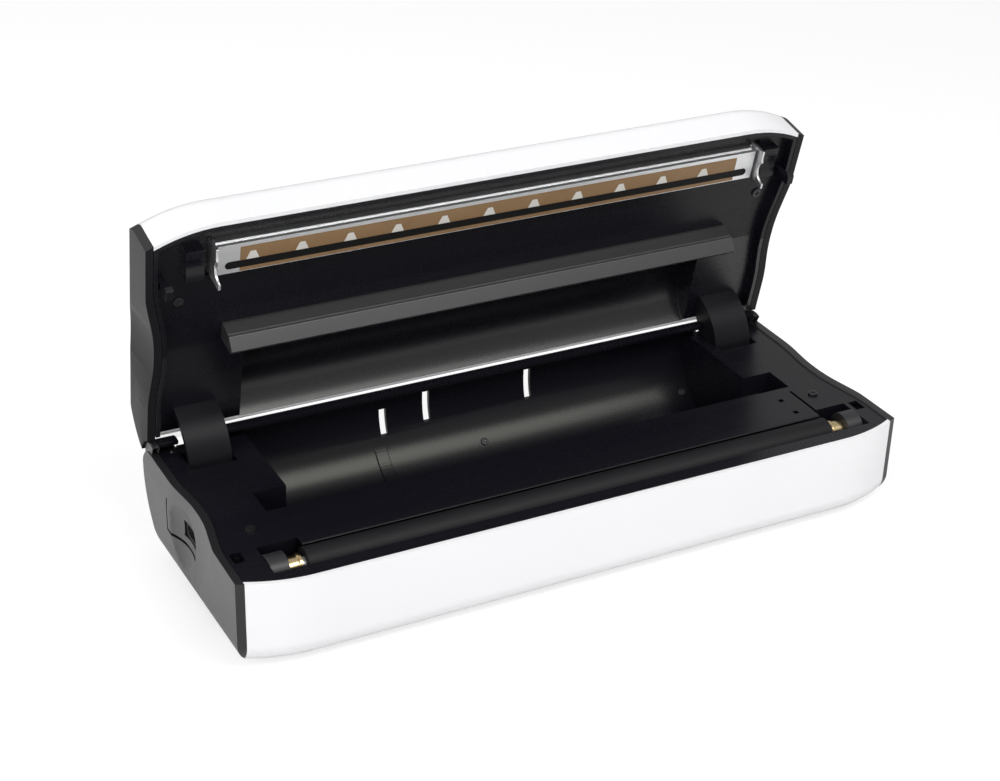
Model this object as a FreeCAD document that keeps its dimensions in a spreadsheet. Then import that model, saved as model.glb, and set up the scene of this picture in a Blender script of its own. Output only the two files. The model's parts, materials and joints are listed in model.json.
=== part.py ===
import FreeCAD
import Part
import math
import os
import re

import Sketcher
from FreeCAD import Placement, Rotation, Vector

# A countertop vacuum sealer with its lid raised.
# Every piece is drawn with the lid shut, in the frame of the seam between base and lid:
# X runs along the machine, Y goes back from the front face, Z rises from the seam.
# The base pieces are then set on the floor, and the lid pieces are swung open about the hinge.

SIZES = {
    # overall
    "body_length": 390,
    "front_setback": 84.26,
    "foot_height": 2,
    "foot_radius": 7,
    "foot_inset": 28,
    "seam_rise": 8.5,
    "seam_gap": 0.4,
    "fit_gap": 0.2,
    "slide_gap": 0.3,
    "hinge_setback": 144,
    "hinge_drop": 3.8,
    "lid_open_angle": 77.6,
    # outline seen from above
    "knee_inset": 22,
    "knee_radius": 80,
    "corner_back": 10,
    "wave_start": 38,
    "waist_front": 68,
    "waist_back": 86,
    "wave_end": 108,
    "waist_narrowing": 5.7,
    "rear_narrowing": 3,
    "wave_radius": 100,
    "cap_wall": 4.4,
    "grip_fade": 3.6,
    "end_radius": 13,
    "lid_end_radius": 6,
    # outer shells
    "cover_wall": 2.4,
    "base_front_height": 48.6,
    "bottom_front_radius": 13,
    "bottom_rear_radius": 42,
    "rear_edge_drop": 28,
    "lid_front_height": 30,
    "lid_front_radius": 13,
    "lid_rear_reach": 147.4,
    "lid_rear_radius": 38,
    "barrel_radius": 10.2,
    "hinge_gap": 2,
    "hem_wall": 0.8,
    "hem_start_angle": 93,
    "hem_sweep_angle": 15,
    # inner panels
    "panel_wall": 2.4,
    "deck_drop": 0.8,
    "panel_recess": 6,
    "inner_shift": 3,
    "trough_inset": 54,
    "trough_front": 66,
    "trough_lean": 8,
    "trough_rise": 2.6,
    "trough_front_radius": 28,
    "trough_rear_radius": 38,
    "lip_sweep_angle": 110,
    "lid_trough_back": 111,
    "lid_trough_drop": 12,
    "lid_trough_radius": 32,
    "pocket_inset": 35.5,
    "pocket_length": 19.5,
    "pocket_depth": 18,
    "view_slot_width": 4.2,
    "view_slot_height": 19,
    "view_slot_top": 3,
    "low_slot_top": 9,
    "low_slot_height": 15.5,
    "low_slot_x": -53.5,
    "left_slot_x": -26.5,
    "right_slot_x": 38.5,
    # pressure roller and its bearings
    "roller_back": 24.9,
    "roller_drop": 9,
    "roller_radius": 8.8,
    "roller_inset": 39,
    "core_radius": 4,
    "core_inset": 37.3,
    "journal_radius": 3,
    "running_gap": 0.06,
    "bush_inset": 37,
    "bush_flange": 2,
    "bush_length": 8,
    "bush_radius": 5.6,
    "bush_flange_radius": 6.4,
    "bush_spigot": 6,
    "bush_spigot_radius": 4.2,
    "block_radius": 9.4,
    "block_length": 10,
    "channel_front": 12,
    "channel_back": 36.8,
    "channel_depth": 19,
    # heating bar in the lid
    "bar_middle": 23.7,
    "bar_inset": 35,
    "bar_width": 17.6,
    "bar_height": 7.8,
    "bar_face": 0.2,
    "bar_groove": 1.2,
    "bar_groove_low": 2,
    "bar_groove_high": 4,
    "bar_margin": 3.4,
    "bar_end_room": 6,
    "strip_seat": 0.3,
    "strip_inset": 39,
    "strip_width": 4.4,
    "strip_edge": 2.7,
    "strip_thickness": 0.5,
    "tape_inset": 47,
    "tape_width": 8.3,
    "tape_thickness": 0.4,
    "plate_thickness": 1.4,
    "plate_inset": 33.6,
    "plate_overhang": 2,
    "plate_ear": 4.5,
    "plate_hook": 9.5,
    "plate_arm": 5,
    "plate_notch_gap": 0.6,
    # film guide rail
    "rail_inset": 41,
    "rail_front": 68,
    "rail_step": 2,
    "rail_back": 78.5,
    "rail_shoulder": 4.8,
    "rail_drop": 10.2,
    "rail_nose_back": 76,
    "rail_heel": 8.2,
    "rail_line": 0.6,
    "rail_brow": 3.8,
    # hinge
    "arm_inset": 43,
    "arm_width": 24,
    "arm_radius": 26,
    "arm_start_angle": 140,
    "arm_sweep_angle": 122,
    "arm_curve": 32.2,
    "arm_curve_back": 8,
    "arm_curve_rise": 12.4,
    "arm_wall": 3,
    "arm_web": 4,
    "arm_slot": 24,
    "hub_wall": 2,
    "arm_gap": 0.6,
    "cheek": 3,
    "cheek_front": 12,
    "cheek_depth": 16,
    "pin_radius": 2.5,
    "pin_head": 1.5,
    "pin_head_radius": 4,
    # latches
    "hook_inset": 12,
    "hook_width": 4,
    "hook_front": 31.5,
    "hook_shank": 4,
    "hook_drop": 9,
    "hook_barb": 3,
    "barb_height": 2.8,
    "slot_margin": 0.9,
    "catch_length": 17,
    "catch_height": 2.2,
    "catch_rest": 0.8,
    "catch_seat_gap": 0.4,
    "housing_wall": 1.6,
    # lid controls
    "console_half": 62,
    "console_front": 24,
    "console_depth": 18,
    "console_proud": 0.3,
    "button_length": 26,
    "button_pitch": 38,
    "button_margin": 3.5,
    "button_proud": 1.2,
    "button_depth": 3.6,
    "dish_radius": 16,
    "dish_depth": 0.6,
    "board_drop": 4.6,
    "board_thickness": 1.6,
    # drive, power and air inside the base
    "shelf_rise": 4.6,
    "works_gap": 1.1,
    "rib_front": 24,
    "rib_back": 50,
    "rib_width": 3,
    "rib_inset": 45,
    "transformer_x": -120,
    "transformer_length": 46,
    "transformer_depth": 34,
    "coil_proud": 3,
    "power_board_x": -62,
    "power_board_length": 96,
    "power_board_depth": 36,
    "relay_height": 14,
    "capacitor_radius": 6,
    "capacitor_height": 18,
    "motor_x": 50,
    "motor_length": 44,
    "motor_gap": 0.85,
    "motor_back": 38,
    "saddle_length": 24,
    "saddle_width": 30,
    "pump_length": 30,
    "pump_depth": 30,
    "hose_radius": 3.4,
    "hose_bore": 2,
    "hose_drop": 3,
    "inlet_back": 92,
    "inlet_drop": 21.5,
    "inlet_width": 16,
    "inlet_height": 9,
    "inlet_depth": 16,
    "inlet_wall": 1.4,
    "inlet_pin_radius": 1.2,
    "inlet_pin_pitch": 8.6,
    "scoop_radius": 40,
    "scoop_depth": 1.4,
    "groove_width": 1.4,
    "groove_depth": 0.9,
    "groove_back": 115,
    "groove_front": 81,
    "groove_top": 11.5,
    "groove_low": 29.5,
    # fasteners and small openings
    "screw_head_radius": 2.7,
    "screw_head": 1.1,
    "screw_radius": 1.5,
    "screw_length": 9,
    "screw_hole_gap": 0.15,
    "cross_width": 0.7,
    "cross_length": 3.2,
    "cross_depth": 0.6,
    "deck_screw_inset": 25,
    "deck_screw_back": 53,
    "lid_screw_inset": 20,
    "lid_screw_back": 49,
    "hole_size": 3,
    "hole_inset": 46,
    "hole_front": 38,
    "hole_pitch": 14.5,
    "line_inset": 35,
    "line_front": 30,
    "line_back": 61,
    "line_width": 1.6,
    "notch_width": 4,
    "notch_depth": 1.6,
    "notch_pitch": 104,
}

# Places along the machine that keep their distance from its ends.
INSETS = {
    "front_knee": "knee_inset",
    "trough_half": "trough_inset",
    "pocket_half": "pocket_inset",
    "roller_half": "roller_inset",
    "core_half": "core_inset",
    "bush_start": "bush_inset",
    "bar_half": "bar_inset",
    "strip_half": "strip_inset",
    "tape_half": "tape_inset",
    "plate_start": "plate_inset",
    "rail_half": "rail_inset",
    "arm_inner": "arm_inset",
    "hook_start": "hook_inset",
    "rib_half": "rib_inset",
    "deck_screw_x": "deck_screw_inset",
    "lid_screw_x": "lid_screw_inset",
    "hole_x": "hole_inset",
    "line_x": "line_inset",
}

# Depths and heights in the base that follow from its own height.
FOLLOWING = {
    "trough_depth": "base_front_height - trough_rise",
    "shelf_drop": "base_front_height - shelf_rise",
    "works_room": "shelf_drop - channel_depth - panel_wall",
    "transformer_height": "works_room - works_gap",
    "pump_height": "works_room - works_gap",
    "motor_radius": "(works_room - cover_wall) / 2 - motor_gap",
    "hose_height": "pump_height - hose_drop",
}
FOLLOWING.update({place: f"body_length / 2 - {inset}" for place, inset in INSETS.items()})

TOUCH = 1e-6
ROLL_TOUCH = 1e-3
NEAR_END = SIZES["body_length"] / 2 - SIZES["knee_inset"]

doc = FreeCAD.newDocument("vacuum_sealer")
sheet = doc.addObject("Spreadsheet::Sheet", "size")
cells = {alias: str(number) for alias, number in SIZES.items()}
cells.update({alias: "=" + formula for alias, formula in FOLLOWING.items()})
for row, (alias, content) in enumerate(cells.items(), start=1):
    sheet.set(f"A{row}", alias)
    sheet.set(f"B{row}", content)
    sheet.setAlias(f"B{row}", alias)
doc.recompute()

NODES = []
SIDES = (("left", -1), ("right", 1))


# Words for places that several pieces share.
HALF = "body_length / 2"
SLOPE = "seam_rise / hinge_setback"
END_TO_END = (f"-({HALF})", HALF)
REACH = f"({HALF} + 2 * cap_wall)"
BEYOND = (f"-{REACH}", REACH)
ABOVE = "lid_front_height"
BELOW = "-base_front_height"
REAR = "hinge_setback + barrel_radius"
SWEEP = "barrel_radius + hinge_gap"
PANEL_SIDE = "cap_wall + 2 * fit_gap"
PANEL_FRONT = "cover_wall + fit_gap"
DECK_LOW = "-deck_drop - panel_wall"
BLOCK_START = "bush_start + bush_length + fit_gap"
BLOCK_END = f"{BLOCK_START} + block_length"
BAR_FRONT = "bar_middle - bar_width / 2"
BAR_BACK = "bar_middle + bar_width / 2"
BAR_ROOT = "bar_face + bar_height"
ARM_OUTER = "arm_inner + arm_width"
CHEEK_END = f"{ARM_OUTER} + arm_gap + cheek"
HOOK_END = "hook_start + hook_width"
BARB_FRONT = "hook_front - hook_barb"
BARB_TOP = "-hook_drop + barb_height"
CATCH_LOW = f"{BARB_TOP} + catch_seat_gap"
CATCH_HIGH = f"{CATCH_LOW} + catch_height"
CATCH_NOSE = f"{BARB_FRONT} - catch_rest"
MOTOR_END = "motor_x + motor_length"
PORT = (f"{MOTOR_END} + pump_length / 2", "-shelf_drop + hose_height")


def q(text):
    """Point each size named in a formula at its cell."""
    return re.sub(r"[a-z_]\w*", lambda m: "size." + m.group() if m.group() in cells else m.group(), text)


def bind(obj, prop, text):
    obj.setExpression(prop, q(str(text)))


def base_bottom(back):
    """Height of the level underside at a distance back from the front face."""
    return f"-(base_front_height + {SLOPE} * ({back}))"


def span(side, inner, outer):
    """The stretch of X between two distances from the middle, on one side."""
    return (inner, outer) if side > 0 else (f"-({outer})", f"-({inner})")


def inner_span(side, inner, outer):
    """The same for the sealing and trough pieces, which sit a little right of the middle."""
    return tuple(f"inner_shift + ({place})" for place in span(side, inner, outer))


def along(half):
    """A stretch of X about the middle of the sealing and trough pieces."""
    return (f"inner_shift - ({half})", f"inner_shift + ({half})")


def box(name, x, y, z):
    obj = doc.addObject("Part::Box", name)
    for prop, axis, (low, high) in (("Length", "x", x), ("Width", "y", y), ("Height", "z", z)):
        bind(obj, prop, f"({high}) - ({low})")
        bind(obj, f"Placement.Base.{axis}", low)
    return obj


def cylinder(name, radius, height, turn, place):
    obj = doc.addObject("Part::Cylinder", name)
    bind(obj, "Radius", radius)
    bind(obj, "Height", height)
    obj.Placement.Rotation = turn
    for axis, where in zip("xyz", place):
        bind(obj, f"Placement.Base.{axis}", where)
    return obj


def rod(name, radius, x, y, z):
    """A round bar along X."""
    turn = Rotation(Vector(0, 1, 0), 90)
    return cylinder(name, radius, f"({x[1]}) - ({x[0]})", turn, (x[0], y, z))


def bar_along_y(name, radius, x, y, z):
    turn = Rotation(Vector(1, 0, 0), -90)
    return cylinder(name, radius, f"({y[1]}) - ({y[0]})", turn, (x, y[0], z))


def post(name, radius, x, y, z):
    return cylinder(name, radius, f"({z[1]}) - ({z[0]})", Rotation(), (x, y, z[0]))


def sector(name, radius, x, start, arc):
    """A slice of a round bar about the hinge line; start and arc are angles in the YZ plane."""
    angle = math.radians(start)
    along = Vector(0, math.cos(angle), math.sin(angle))
    across = Vector(0, -math.sin(angle), math.cos(angle))
    turn = Rotation(along, across, Vector(1, 0, 0), "XYZ")
    place = (x[0], "hinge_setback", "-hinge_drop")
    obj = cylinder(name, radius, f"({x[1]}) - ({x[0]})", turn, place)
    bind(obj, "Angle", arc)
    return obj


def fuse(name, *shapes):
    obj = doc.addObject("Part::MultiFuse", name)
    obj.Shapes = list(shapes)
    obj.Refine = True
    return obj


def cut(name, base, *tools):
    obj = doc.addObject("Part::Cut", name)
    obj.Base = base
    obj.Tool = tools[0] if len(tools) == 1 else fuse(name + "_tools", *tools)
    obj.Refine = True
    return obj


def common(name, *shapes):
    obj = doc.addObject("Part::MultiCommon", name)
    obj.Shapes = list(shapes)
    obj.Refine = True
    return obj


def corner_edges(shape, axes, corner):
    """Names of the edges that run straight up from one corner of a padded outline."""
    names = []
    for number, edge in enumerate(shape.Edges, start=1):
        ends = [vertex.Point for vertex in edge.Vertexes]
        offsets = [abs(getattr(end, axis) - where) for end in ends for axis, where in zip(axes, corner)]
        if len(ends) == 2 and max(offsets) < TOUCH:
            names.append(f"Edge{number}")
    return names


def outline(body, name, plane, corners, height):
    """A closed outline of straight lines on one plane of a body, at a height over that plane."""
    sketch = body.newObject("Sketcher::SketchObject", name)
    support = next(item for item in body.Origin.OriginFeatures if item.Role == plane)
    sketch.AttachmentSupport = [(support, "")]
    sketch.MapMode = "FlatFace"
    bind(sketch, "AttachmentOffset.Base.z", height)
    count = len(corners)
    turns = [2 * math.pi * index / count for index in range(count)]
    ring = [Vector(math.cos(turn), math.sin(turn), 0) for turn in turns]
    for index in range(count):
        sketch.addGeometry(Part.LineSegment(ring[index], ring[(index + 1) % count]))
    for index in range(count):
        sketch.addConstraint(Sketcher.Constraint("Coincident", index, 2, (index + 1) % count, 1))
    for index, corner in enumerate(corners):
        for kind, text in zip(("DistanceX", "DistanceY"), corner):
            number = sketch.addConstraint(Sketcher.Constraint(kind, -1, 1, index, 1, 1.0))
            bind(sketch, f"Constraints[{number}]", text)
    return sketch


def roll(body, name, names, radius):
    """Round the named edges of a body."""
    solid = body.Tip
    fillet = body.newObject("PartDesign::Fillet", name)
    fillet.Base = (solid, names)
    bind(fillet, "Radius", radius)
    body.Tip = fillet
    doc.recompute()


def prism(name, plane, corners, low, high):
    """A closed outline on one plane, padded from low to high; a corner is (u, v) or (u, v, radius)."""
    body = doc.addObject("PartDesign::Body", name)
    sketch = outline(body, name + "_outline", plane, corners, low)
    pad = body.newObject("PartDesign::Pad", name + "_pad")
    pad.Profile = sketch
    bind(pad, "Length", f"({high}) - ({low})")
    doc.recompute()
    places = [(line.StartPoint.x, line.StartPoint.y) for line in sketch.Geometry]
    axes = "yz" if plane == "YZ_Plane" else "xy"
    radii = {}
    for corner, place in zip(corners, places):
        if len(corner) == 3:
            radii.setdefault(corner[2], []).append(place)
    for radius, rounded in radii.items():
        names = [edge for place in rounded for edge in corner_edges(body.Tip.Shape, axes, place)]
        roll(body, f"{name}_round", names, radius)
    return body


def side_wave(inset):
    """The wavy end of the body seen from above, from front to back, moved in by an inset."""
    half = f"{HALF} - ({inset})"
    return [
        (half, "-corner_back"),
        (half, "wave_start", "wave_radius"),
        (f"{half} - waist_narrowing", "waist_front", "wave_radius"),
        (f"{half} - waist_narrowing", "waist_back", "wave_radius"),
        (f"{half} - rear_narrowing", "wave_end", "wave_radius"),
        (f"{half} - rear_narrowing", f"{REAR} + bottom_rear_radius"),
    ]


def mirrored(corners):
    return [(f"-({corner[0]})", *corner[1:]) for corner in corners]


def front_line(front):
    """The bent front of the body seen from above, from the right to the left, run on past both ends."""
    back = f"({front}) + corner_back * ({REACH} - front_knee) / ({HALF} - front_knee)"
    right = [(REACH, back), ("front_knee", front, "knee_radius")]
    return right + mirrored(right)[::-1]


def tall(name, corners):
    """An outline seen from above as a block that reaches past the whole body."""
    return prism(name, "XY_Plane", corners, "-2 * base_front_height", "2 * base_front_height")


def side_to_side(name, inset):
    """Everything between the two wavy ends, as a block open to front and rear."""
    right = side_wave(inset)
    return tall(name, right + mirrored(right)[::-1])


def plan(name, inset, front):
    """The outline of the body from above, as a tall block."""
    back = f"{REAR} + bottom_rear_radius"
    bent = tall(name + "_bent", front_line(front) + [(BEYOND[0], back), (BEYOND[1], back)])
    return common(name, side_to_side(name + "_sides", inset), bent)


def cap_strip(name, side):
    """All that lies outside the inner face of one end cap."""
    inner = side_wave("cap_wall")
    corners = inner + [(REACH, inner[-1][1]), (REACH, inner[0][1])]
    return tall(name, corners if side > 0 else mirrored(corners))


def base_sides(inset):
    """The base from the side: level underside, rounded lower rear, rounded hinge edge."""
    back = f"{REAR} - ({inset})"
    return [
        (inset, "0"),
        (inset, f"{base_bottom(inset)} + ({inset})"),
        (back, f"{base_bottom(back)} + ({inset})", f"bottom_rear_radius - ({inset})"),
        (back, "0", "barrel_radius"),
    ]


def lid_sides(inset):
    """The lid from the side: top even with the seam, full round rear that runs on below the seam."""
    back = f"lid_rear_reach - ({inset})"
    high = f"lid_front_height - ({inset})"
    return [
        (inset, "-lid_rear_radius"),
        (inset, high),
        (back, high, f"lid_rear_radius - ({inset})"),
        (back, "-lid_rear_radius"),
    ]


def rolled_edges(shape, line, keep):
    """Names of the edges that lie in the plane through a line of the side view, where keep says so."""
    (y0, z0), (y1, z1) = line
    names = []
    for number, edge in enumerate(shape.Edges, start=1):
        points = edge.discretize(3)
        off = max(abs(point.z - z0 - (point.y - y0) * (z1 - z0) / (y1 - y0)) for point in points)
        if off < ROLL_TOUCH and all(keep(point) for point in points):
            names.append(f"Edge{number}")
    return names


def trim(body, name, plane, corners, low, high):
    """Take an outline out of a body between two heights over its plane."""
    sketch = outline(body, name + "_outline", plane, corners, high)
    pocket = body.newObject("PartDesign::Pocket", name)
    pocket.Profile = sketch
    bind(pocket, "Length", f"({high}) - ({low})")
    body.Tip = pocket
    doc.recompute()
    return sketch


def front_form(name, corners, inset, radius):
    """The body's side view run past both ends, cut to the bent front and rolled along that front."""
    body = prism(name, "YZ_Plane", corners, *BEYOND)
    line = [(corner.y, corner.z) for corner in (body_corner(body, 1), body_corner(body, 2))]
    bent = front_line(inset)
    waste = bent + [(BEYOND[0], "-body_length"), (BEYOND[1], "-body_length")]
    sketch = trim(body, name + "_front", "XY_Plane", waste, "-2 * base_front_height", "2 * base_front_height")
    knees = [sketch.Geometry[index].StartPoint for index in (1, 2)]
    names = [edge for knee in knees for edge in corner_edges(body.Tip.Shape, "xy", (knee.x, knee.y))]
    roll(body, name + "_knees", names, "knee_radius")
    limit = sketch.Geometry[0].StartPoint.y + ROLL_TOUCH
    roll(body, name + "_rolled", rolled_edges(body.Tip.Shape, line, lambda point: point.y < limit), radius)
    return body


def body_corner(body, index):
    """A corner of the outline that a body was padded from."""
    point = body.Group[0].Geometry[index].StartPoint
    return Vector(0, point.x, point.y)


def end_form(name, corners, inset, radius, seam):
    """The space between two straight ends, with the edges away from the seam rolled."""
    right = [
        (f"{HALF} - ({inset})", "-corner_back"),
        (f"{HALF} - ({inset}) - rear_narrowing", f"{REAR} + bottom_rear_radius"),
    ]
    below = name.startswith("base")
    heights = ("-2 * base_front_height", seam) if below else (seam, "2 * base_front_height")
    body = prism(name, "XY_Plane", right + mirrored(right)[::-1], *heights)
    far = "-4 * base_front_height" if below else "4 * base_front_height"
    (front, start), (back, end) = corners[1][:2], corners[2][:2]
    rise = f"(({end}) - ({start})) / (({back}) - ({front}))"
    near_end, far_end = [f"({start}) + ({rise}) * ({place} - ({front}))" for place in BEYOND]
    waste = [(BEYOND[0], near_end), (BEYOND[1], far_end), (BEYOND[1], far), (BEYOND[0], far)]
    sketch = trim(body, name + "_far", "YZ_Plane", waste, *BEYOND)
    line = [(point.x, point.y) for point in (sketch.Geometry[0].StartPoint, sketch.Geometry[1].StartPoint)]
    names = rolled_edges(body.Tip.Shape, line, lambda point: abs(point.x) > NEAR_END)
    roll(body, name + "_rolled", names, radius)
    return body


def grip(name, side, rise):
    """A block whose wavy end leans out away from the seam, so the waist fades with height."""
    wave = side_wave("0")
    corners = wave + [(BEYOND[0], wave[-1][1]), (BEYOND[0], wave[0][1])]
    body = tall(name, corners if side > 0 else mirrored(corners))
    lean = math.degrees(math.atan(SIZES["grip_fade"] / rise))
    pivot = Vector(side * SIZES["body_length"] / 2, 0, 0)
    body.Placement = Placement(Vector(), Rotation(Vector(0, 1, 0), side * lean), pivot)
    return body


def whole_form(name, corners, inset, front_radius, end_radius, seam, rise):
    """The full outside of base or lid, or the room inside it."""
    pieces = [
        front_form(name + "_fronts", corners, inset, front_radius),
        end_form(name + "_ends", corners, inset, end_radius, seam),
    ]
    if inset == "0":
        pieces += [grip(f"{name}_grip_{place}", side, rise) for place, side in SIDES]
    return common(name + "_whole", *pieces)


def base_form(name, inset):
    return whole_form(
        "base_" + name,
        base_sides(inset),
        inset,
        f"bottom_front_radius - ({inset})",
        f"end_radius - ({inset})",
        "0",
        -SIZES["base_front_height"],
    )


def lid_form(name, inset, seam):
    return whole_form(
        "lid_" + name,
        lid_sides(inset),
        inset,
        f"lid_front_radius - ({inset})",
        f"lid_end_radius - ({inset})",
        seam,
        SIZES["lid_front_height"],
    )


def node(label, obj, pose):
    """Name a finished piece and set it in place."""
    obj.Label = label
    obj.Placement = pose
    NODES.append(obj)


# How the base stands and how far the lid is swung open.
tilt = math.degrees(math.atan2(SIZES["seam_rise"], SIZES["hinge_setback"]))
seam_height = SIZES["foot_height"] + SIZES["base_front_height"] * math.cos(math.radians(tilt))
floor_pose = Placement()
base_pose = Placement(Vector(0, -SIZES["front_setback"], seam_height), Rotation(Vector(1, 0, 0), tilt))
hinge = Vector(0, SIZES["hinge_setback"], -SIZES["hinge_drop"])
swing = Placement(Vector(), Rotation(Vector(1, 0, 0), -SIZES["lid_open_angle"]), hinge)
lid_pose = base_pose.multiply(swing)


def cross_screw(name, x, y, seat, up):
    """A pan-head screw with a cross slot; up is 1 for a head on top, -1 for a head underneath."""
    head_z = (seat, f"{seat} + screw_head") if up > 0 else (f"{seat} - screw_head", seat)
    shank_z = (f"{seat} - screw_length", seat) if up > 0 else (seat, f"{seat} + screw_length")
    slot_z = (f"{seat} + screw_head - cross_depth", ABOVE)
    if up < 0:
        slot_z = (BELOW, f"{seat} - screw_head + cross_depth")
    head = post(name + "_head", "screw_head_radius", x, y, head_z)
    shank = post(name + "_shank", "screw_radius", x, y, shank_z)
    long_side = "cross_length / 2"
    short_side = "cross_width / 2"
    slots = [
        box(f"{name}_slot_{number}", (f"{x} - {a}", f"{x} + {a}"), (f"{y} - {b}", f"{y} + {b}"), slot_z)
        for number, (a, b) in enumerate(((long_side, short_side), (short_side, long_side)))
    ]
    return cut(name, fuse(name + "_blank", head, shank), *slots)


def screw_hole(name, x, y):
    return post(name, "screw_radius + screw_hole_gap", x, y, (BELOW, ABOVE))


# Base cover: the white shell round the front, the underside and the lower rear.
def make_base_cover():
    between_caps = side_to_side("base_cover_sides", "cap_wall + fit_gap")
    outer = common("base_shell", base_form("cover", "0"), between_caps)
    hollow = base_form("room", "cover_wall")
    window_y = ("hinge_setback - bottom_rear_radius", f"{REAR} + cover_wall")
    window = box("rear_window", END_TO_END, window_y, ("-rear_edge_drop", ABOVE))
    shell = cut("base_cover_shell", outer, hollow, window)
    ribs = []
    for name, back in (("front", "rib_front"), ("back", "rib_back")):
        low = f"{base_bottom(back)} + cover_wall / 2"
        rib_y = (back, f"{back} + rib_width")
        ribs.append(box(f"rib_{name}", ("-rib_half", "rib_half"), rib_y, (low, "-shelf_drop")))
    node("base_cover", fuse("base_cover", shell, *ribs), base_pose)


# End caps of base and lid: dark mouldings with a waist to grip.
def make_end_caps():
    sweep = hinge_sweep("cap_sweep", "-hinge_gap")
    base_whole = base_form("caps", "0")
    lid_whole = lid_form("caps", "0", "seam_gap")
    for name, side in SIDES:
        low = common(f"base_end_{name}", cap_strip(f"base_strip_{name}", side), base_whole)
        high = common(f"lid_end_{name}", cap_strip(f"lid_strip_{name}", side), lid_whole)
        high = cut(f"lid_end_{name}_cut", high, sweep)
        if side < 0:
            low = cut("base_end_left_cut", low, *inlet_recess())
        node(f"base_end_cap_{name}", low, base_pose)
        node(f"lid_end_cap_{name}", high, lid_pose)


def hinge_sweep(name, grow="0"):
    """The room that the rounded hinge edge of the base takes out of the lid."""
    return rod(name, f"{SWEEP} + {grow}", END_TO_END, "hinge_setback", "-hinge_drop")


# Mains inlet in the left end: a shallow scoop, the socket, its two pins, and a groove beside it.
INLET_FACE = f"{HALF} - waist_narrowing - scoop_depth"


def inlet_recess():
    scoop = doc.addObject("Part::Sphere", "inlet_scoop")
    bind(scoop, "Radius", "scoop_radius")
    bind(scoop, "Placement.Base.x", f"-({INLET_FACE} + scoop_radius)")
    bind(scoop, "Placement.Base.y", "inlet_back")
    bind(scoop, "Placement.Base.z", "-inlet_drop")
    opening = inlet_block("inlet_opening", "fit_gap", HALF)
    face = f"{HALF} - waist_narrowing - groove_depth"
    strip = span(-1, face, HALF)
    rear = "groove_back + groove_width"
    upright = box("groove_upright", strip, ("groove_back", rear), ("-groove_low", "-groove_top"))
    foot = box("groove_foot", strip, ("groove_front", rear), ("-groove_low - groove_width", "-groove_low"))
    return scoop, opening, upright, foot


def inlet_block(name, grow, outer):
    x = span(-1, f"{INLET_FACE} - inlet_depth", outer)
    y = (f"inlet_back - inlet_width / 2 - {grow}", f"inlet_back + inlet_width / 2 + {grow}")
    z = (f"-inlet_drop - inlet_height / 2 - {grow}", f"-inlet_drop + inlet_height / 2 + {grow}")
    return box(name, x, y, z)


def make_inlet():
    block = inlet_block("inlet_body", "0", f"{INLET_FACE} - fit_gap")
    bottom = f"{INLET_FACE} - inlet_depth + inlet_wall"
    room = span(-1, bottom, HALF)
    radius = "inlet_height / 2 - inlet_wall"
    reach = f"(inlet_width / 2 - inlet_wall - ({radius}))"
    ends = []
    pins = []
    pin_x = span(-1, bottom, f"{INLET_FACE} - 2 * inlet_wall")
    for name, sign in SIDES:
        ends.append(rod(f"inlet_end_{name}", radius, room, f"inlet_back + {sign} * {reach}", "-inlet_drop"))
        pin_y = f"inlet_back + {sign} * inlet_pin_pitch / 2"
        pins.append(rod(f"inlet_pin_{name}", "inlet_pin_radius", pin_x, pin_y, "-inlet_drop"))
    middle_y = (f"inlet_back - {reach}", f"inlet_back + {reach}")
    middle_z = (f"-inlet_drop - ({radius})", f"-inlet_drop + ({radius})")
    middle = box("inlet_middle", room, middle_y, middle_z)
    node("power_inlet", cut("power_inlet", block, *ends, middle), base_pose)
    node("inlet_pins", fuse("inlet_pins", *pins), base_pose)


# Inner panel of the base: deck, roll trough, roller channel, pockets, latch housings and hinge edge.
def trough_prism(name, grow, half, top):
    floor = f"-trough_depth - {grow}"
    back = f"{REAR} - panel_wall + {grow}"
    corners = [
        (f"trough_front - {grow}", top),
        (f"trough_front + trough_lean - {grow}", floor, f"trough_front_radius + {grow}"),
        (back, floor, f"trough_rear_radius + {grow}"),
        (back, top),
    ]
    return prism(name, "YZ_Plane", corners, *along(half))


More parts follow.
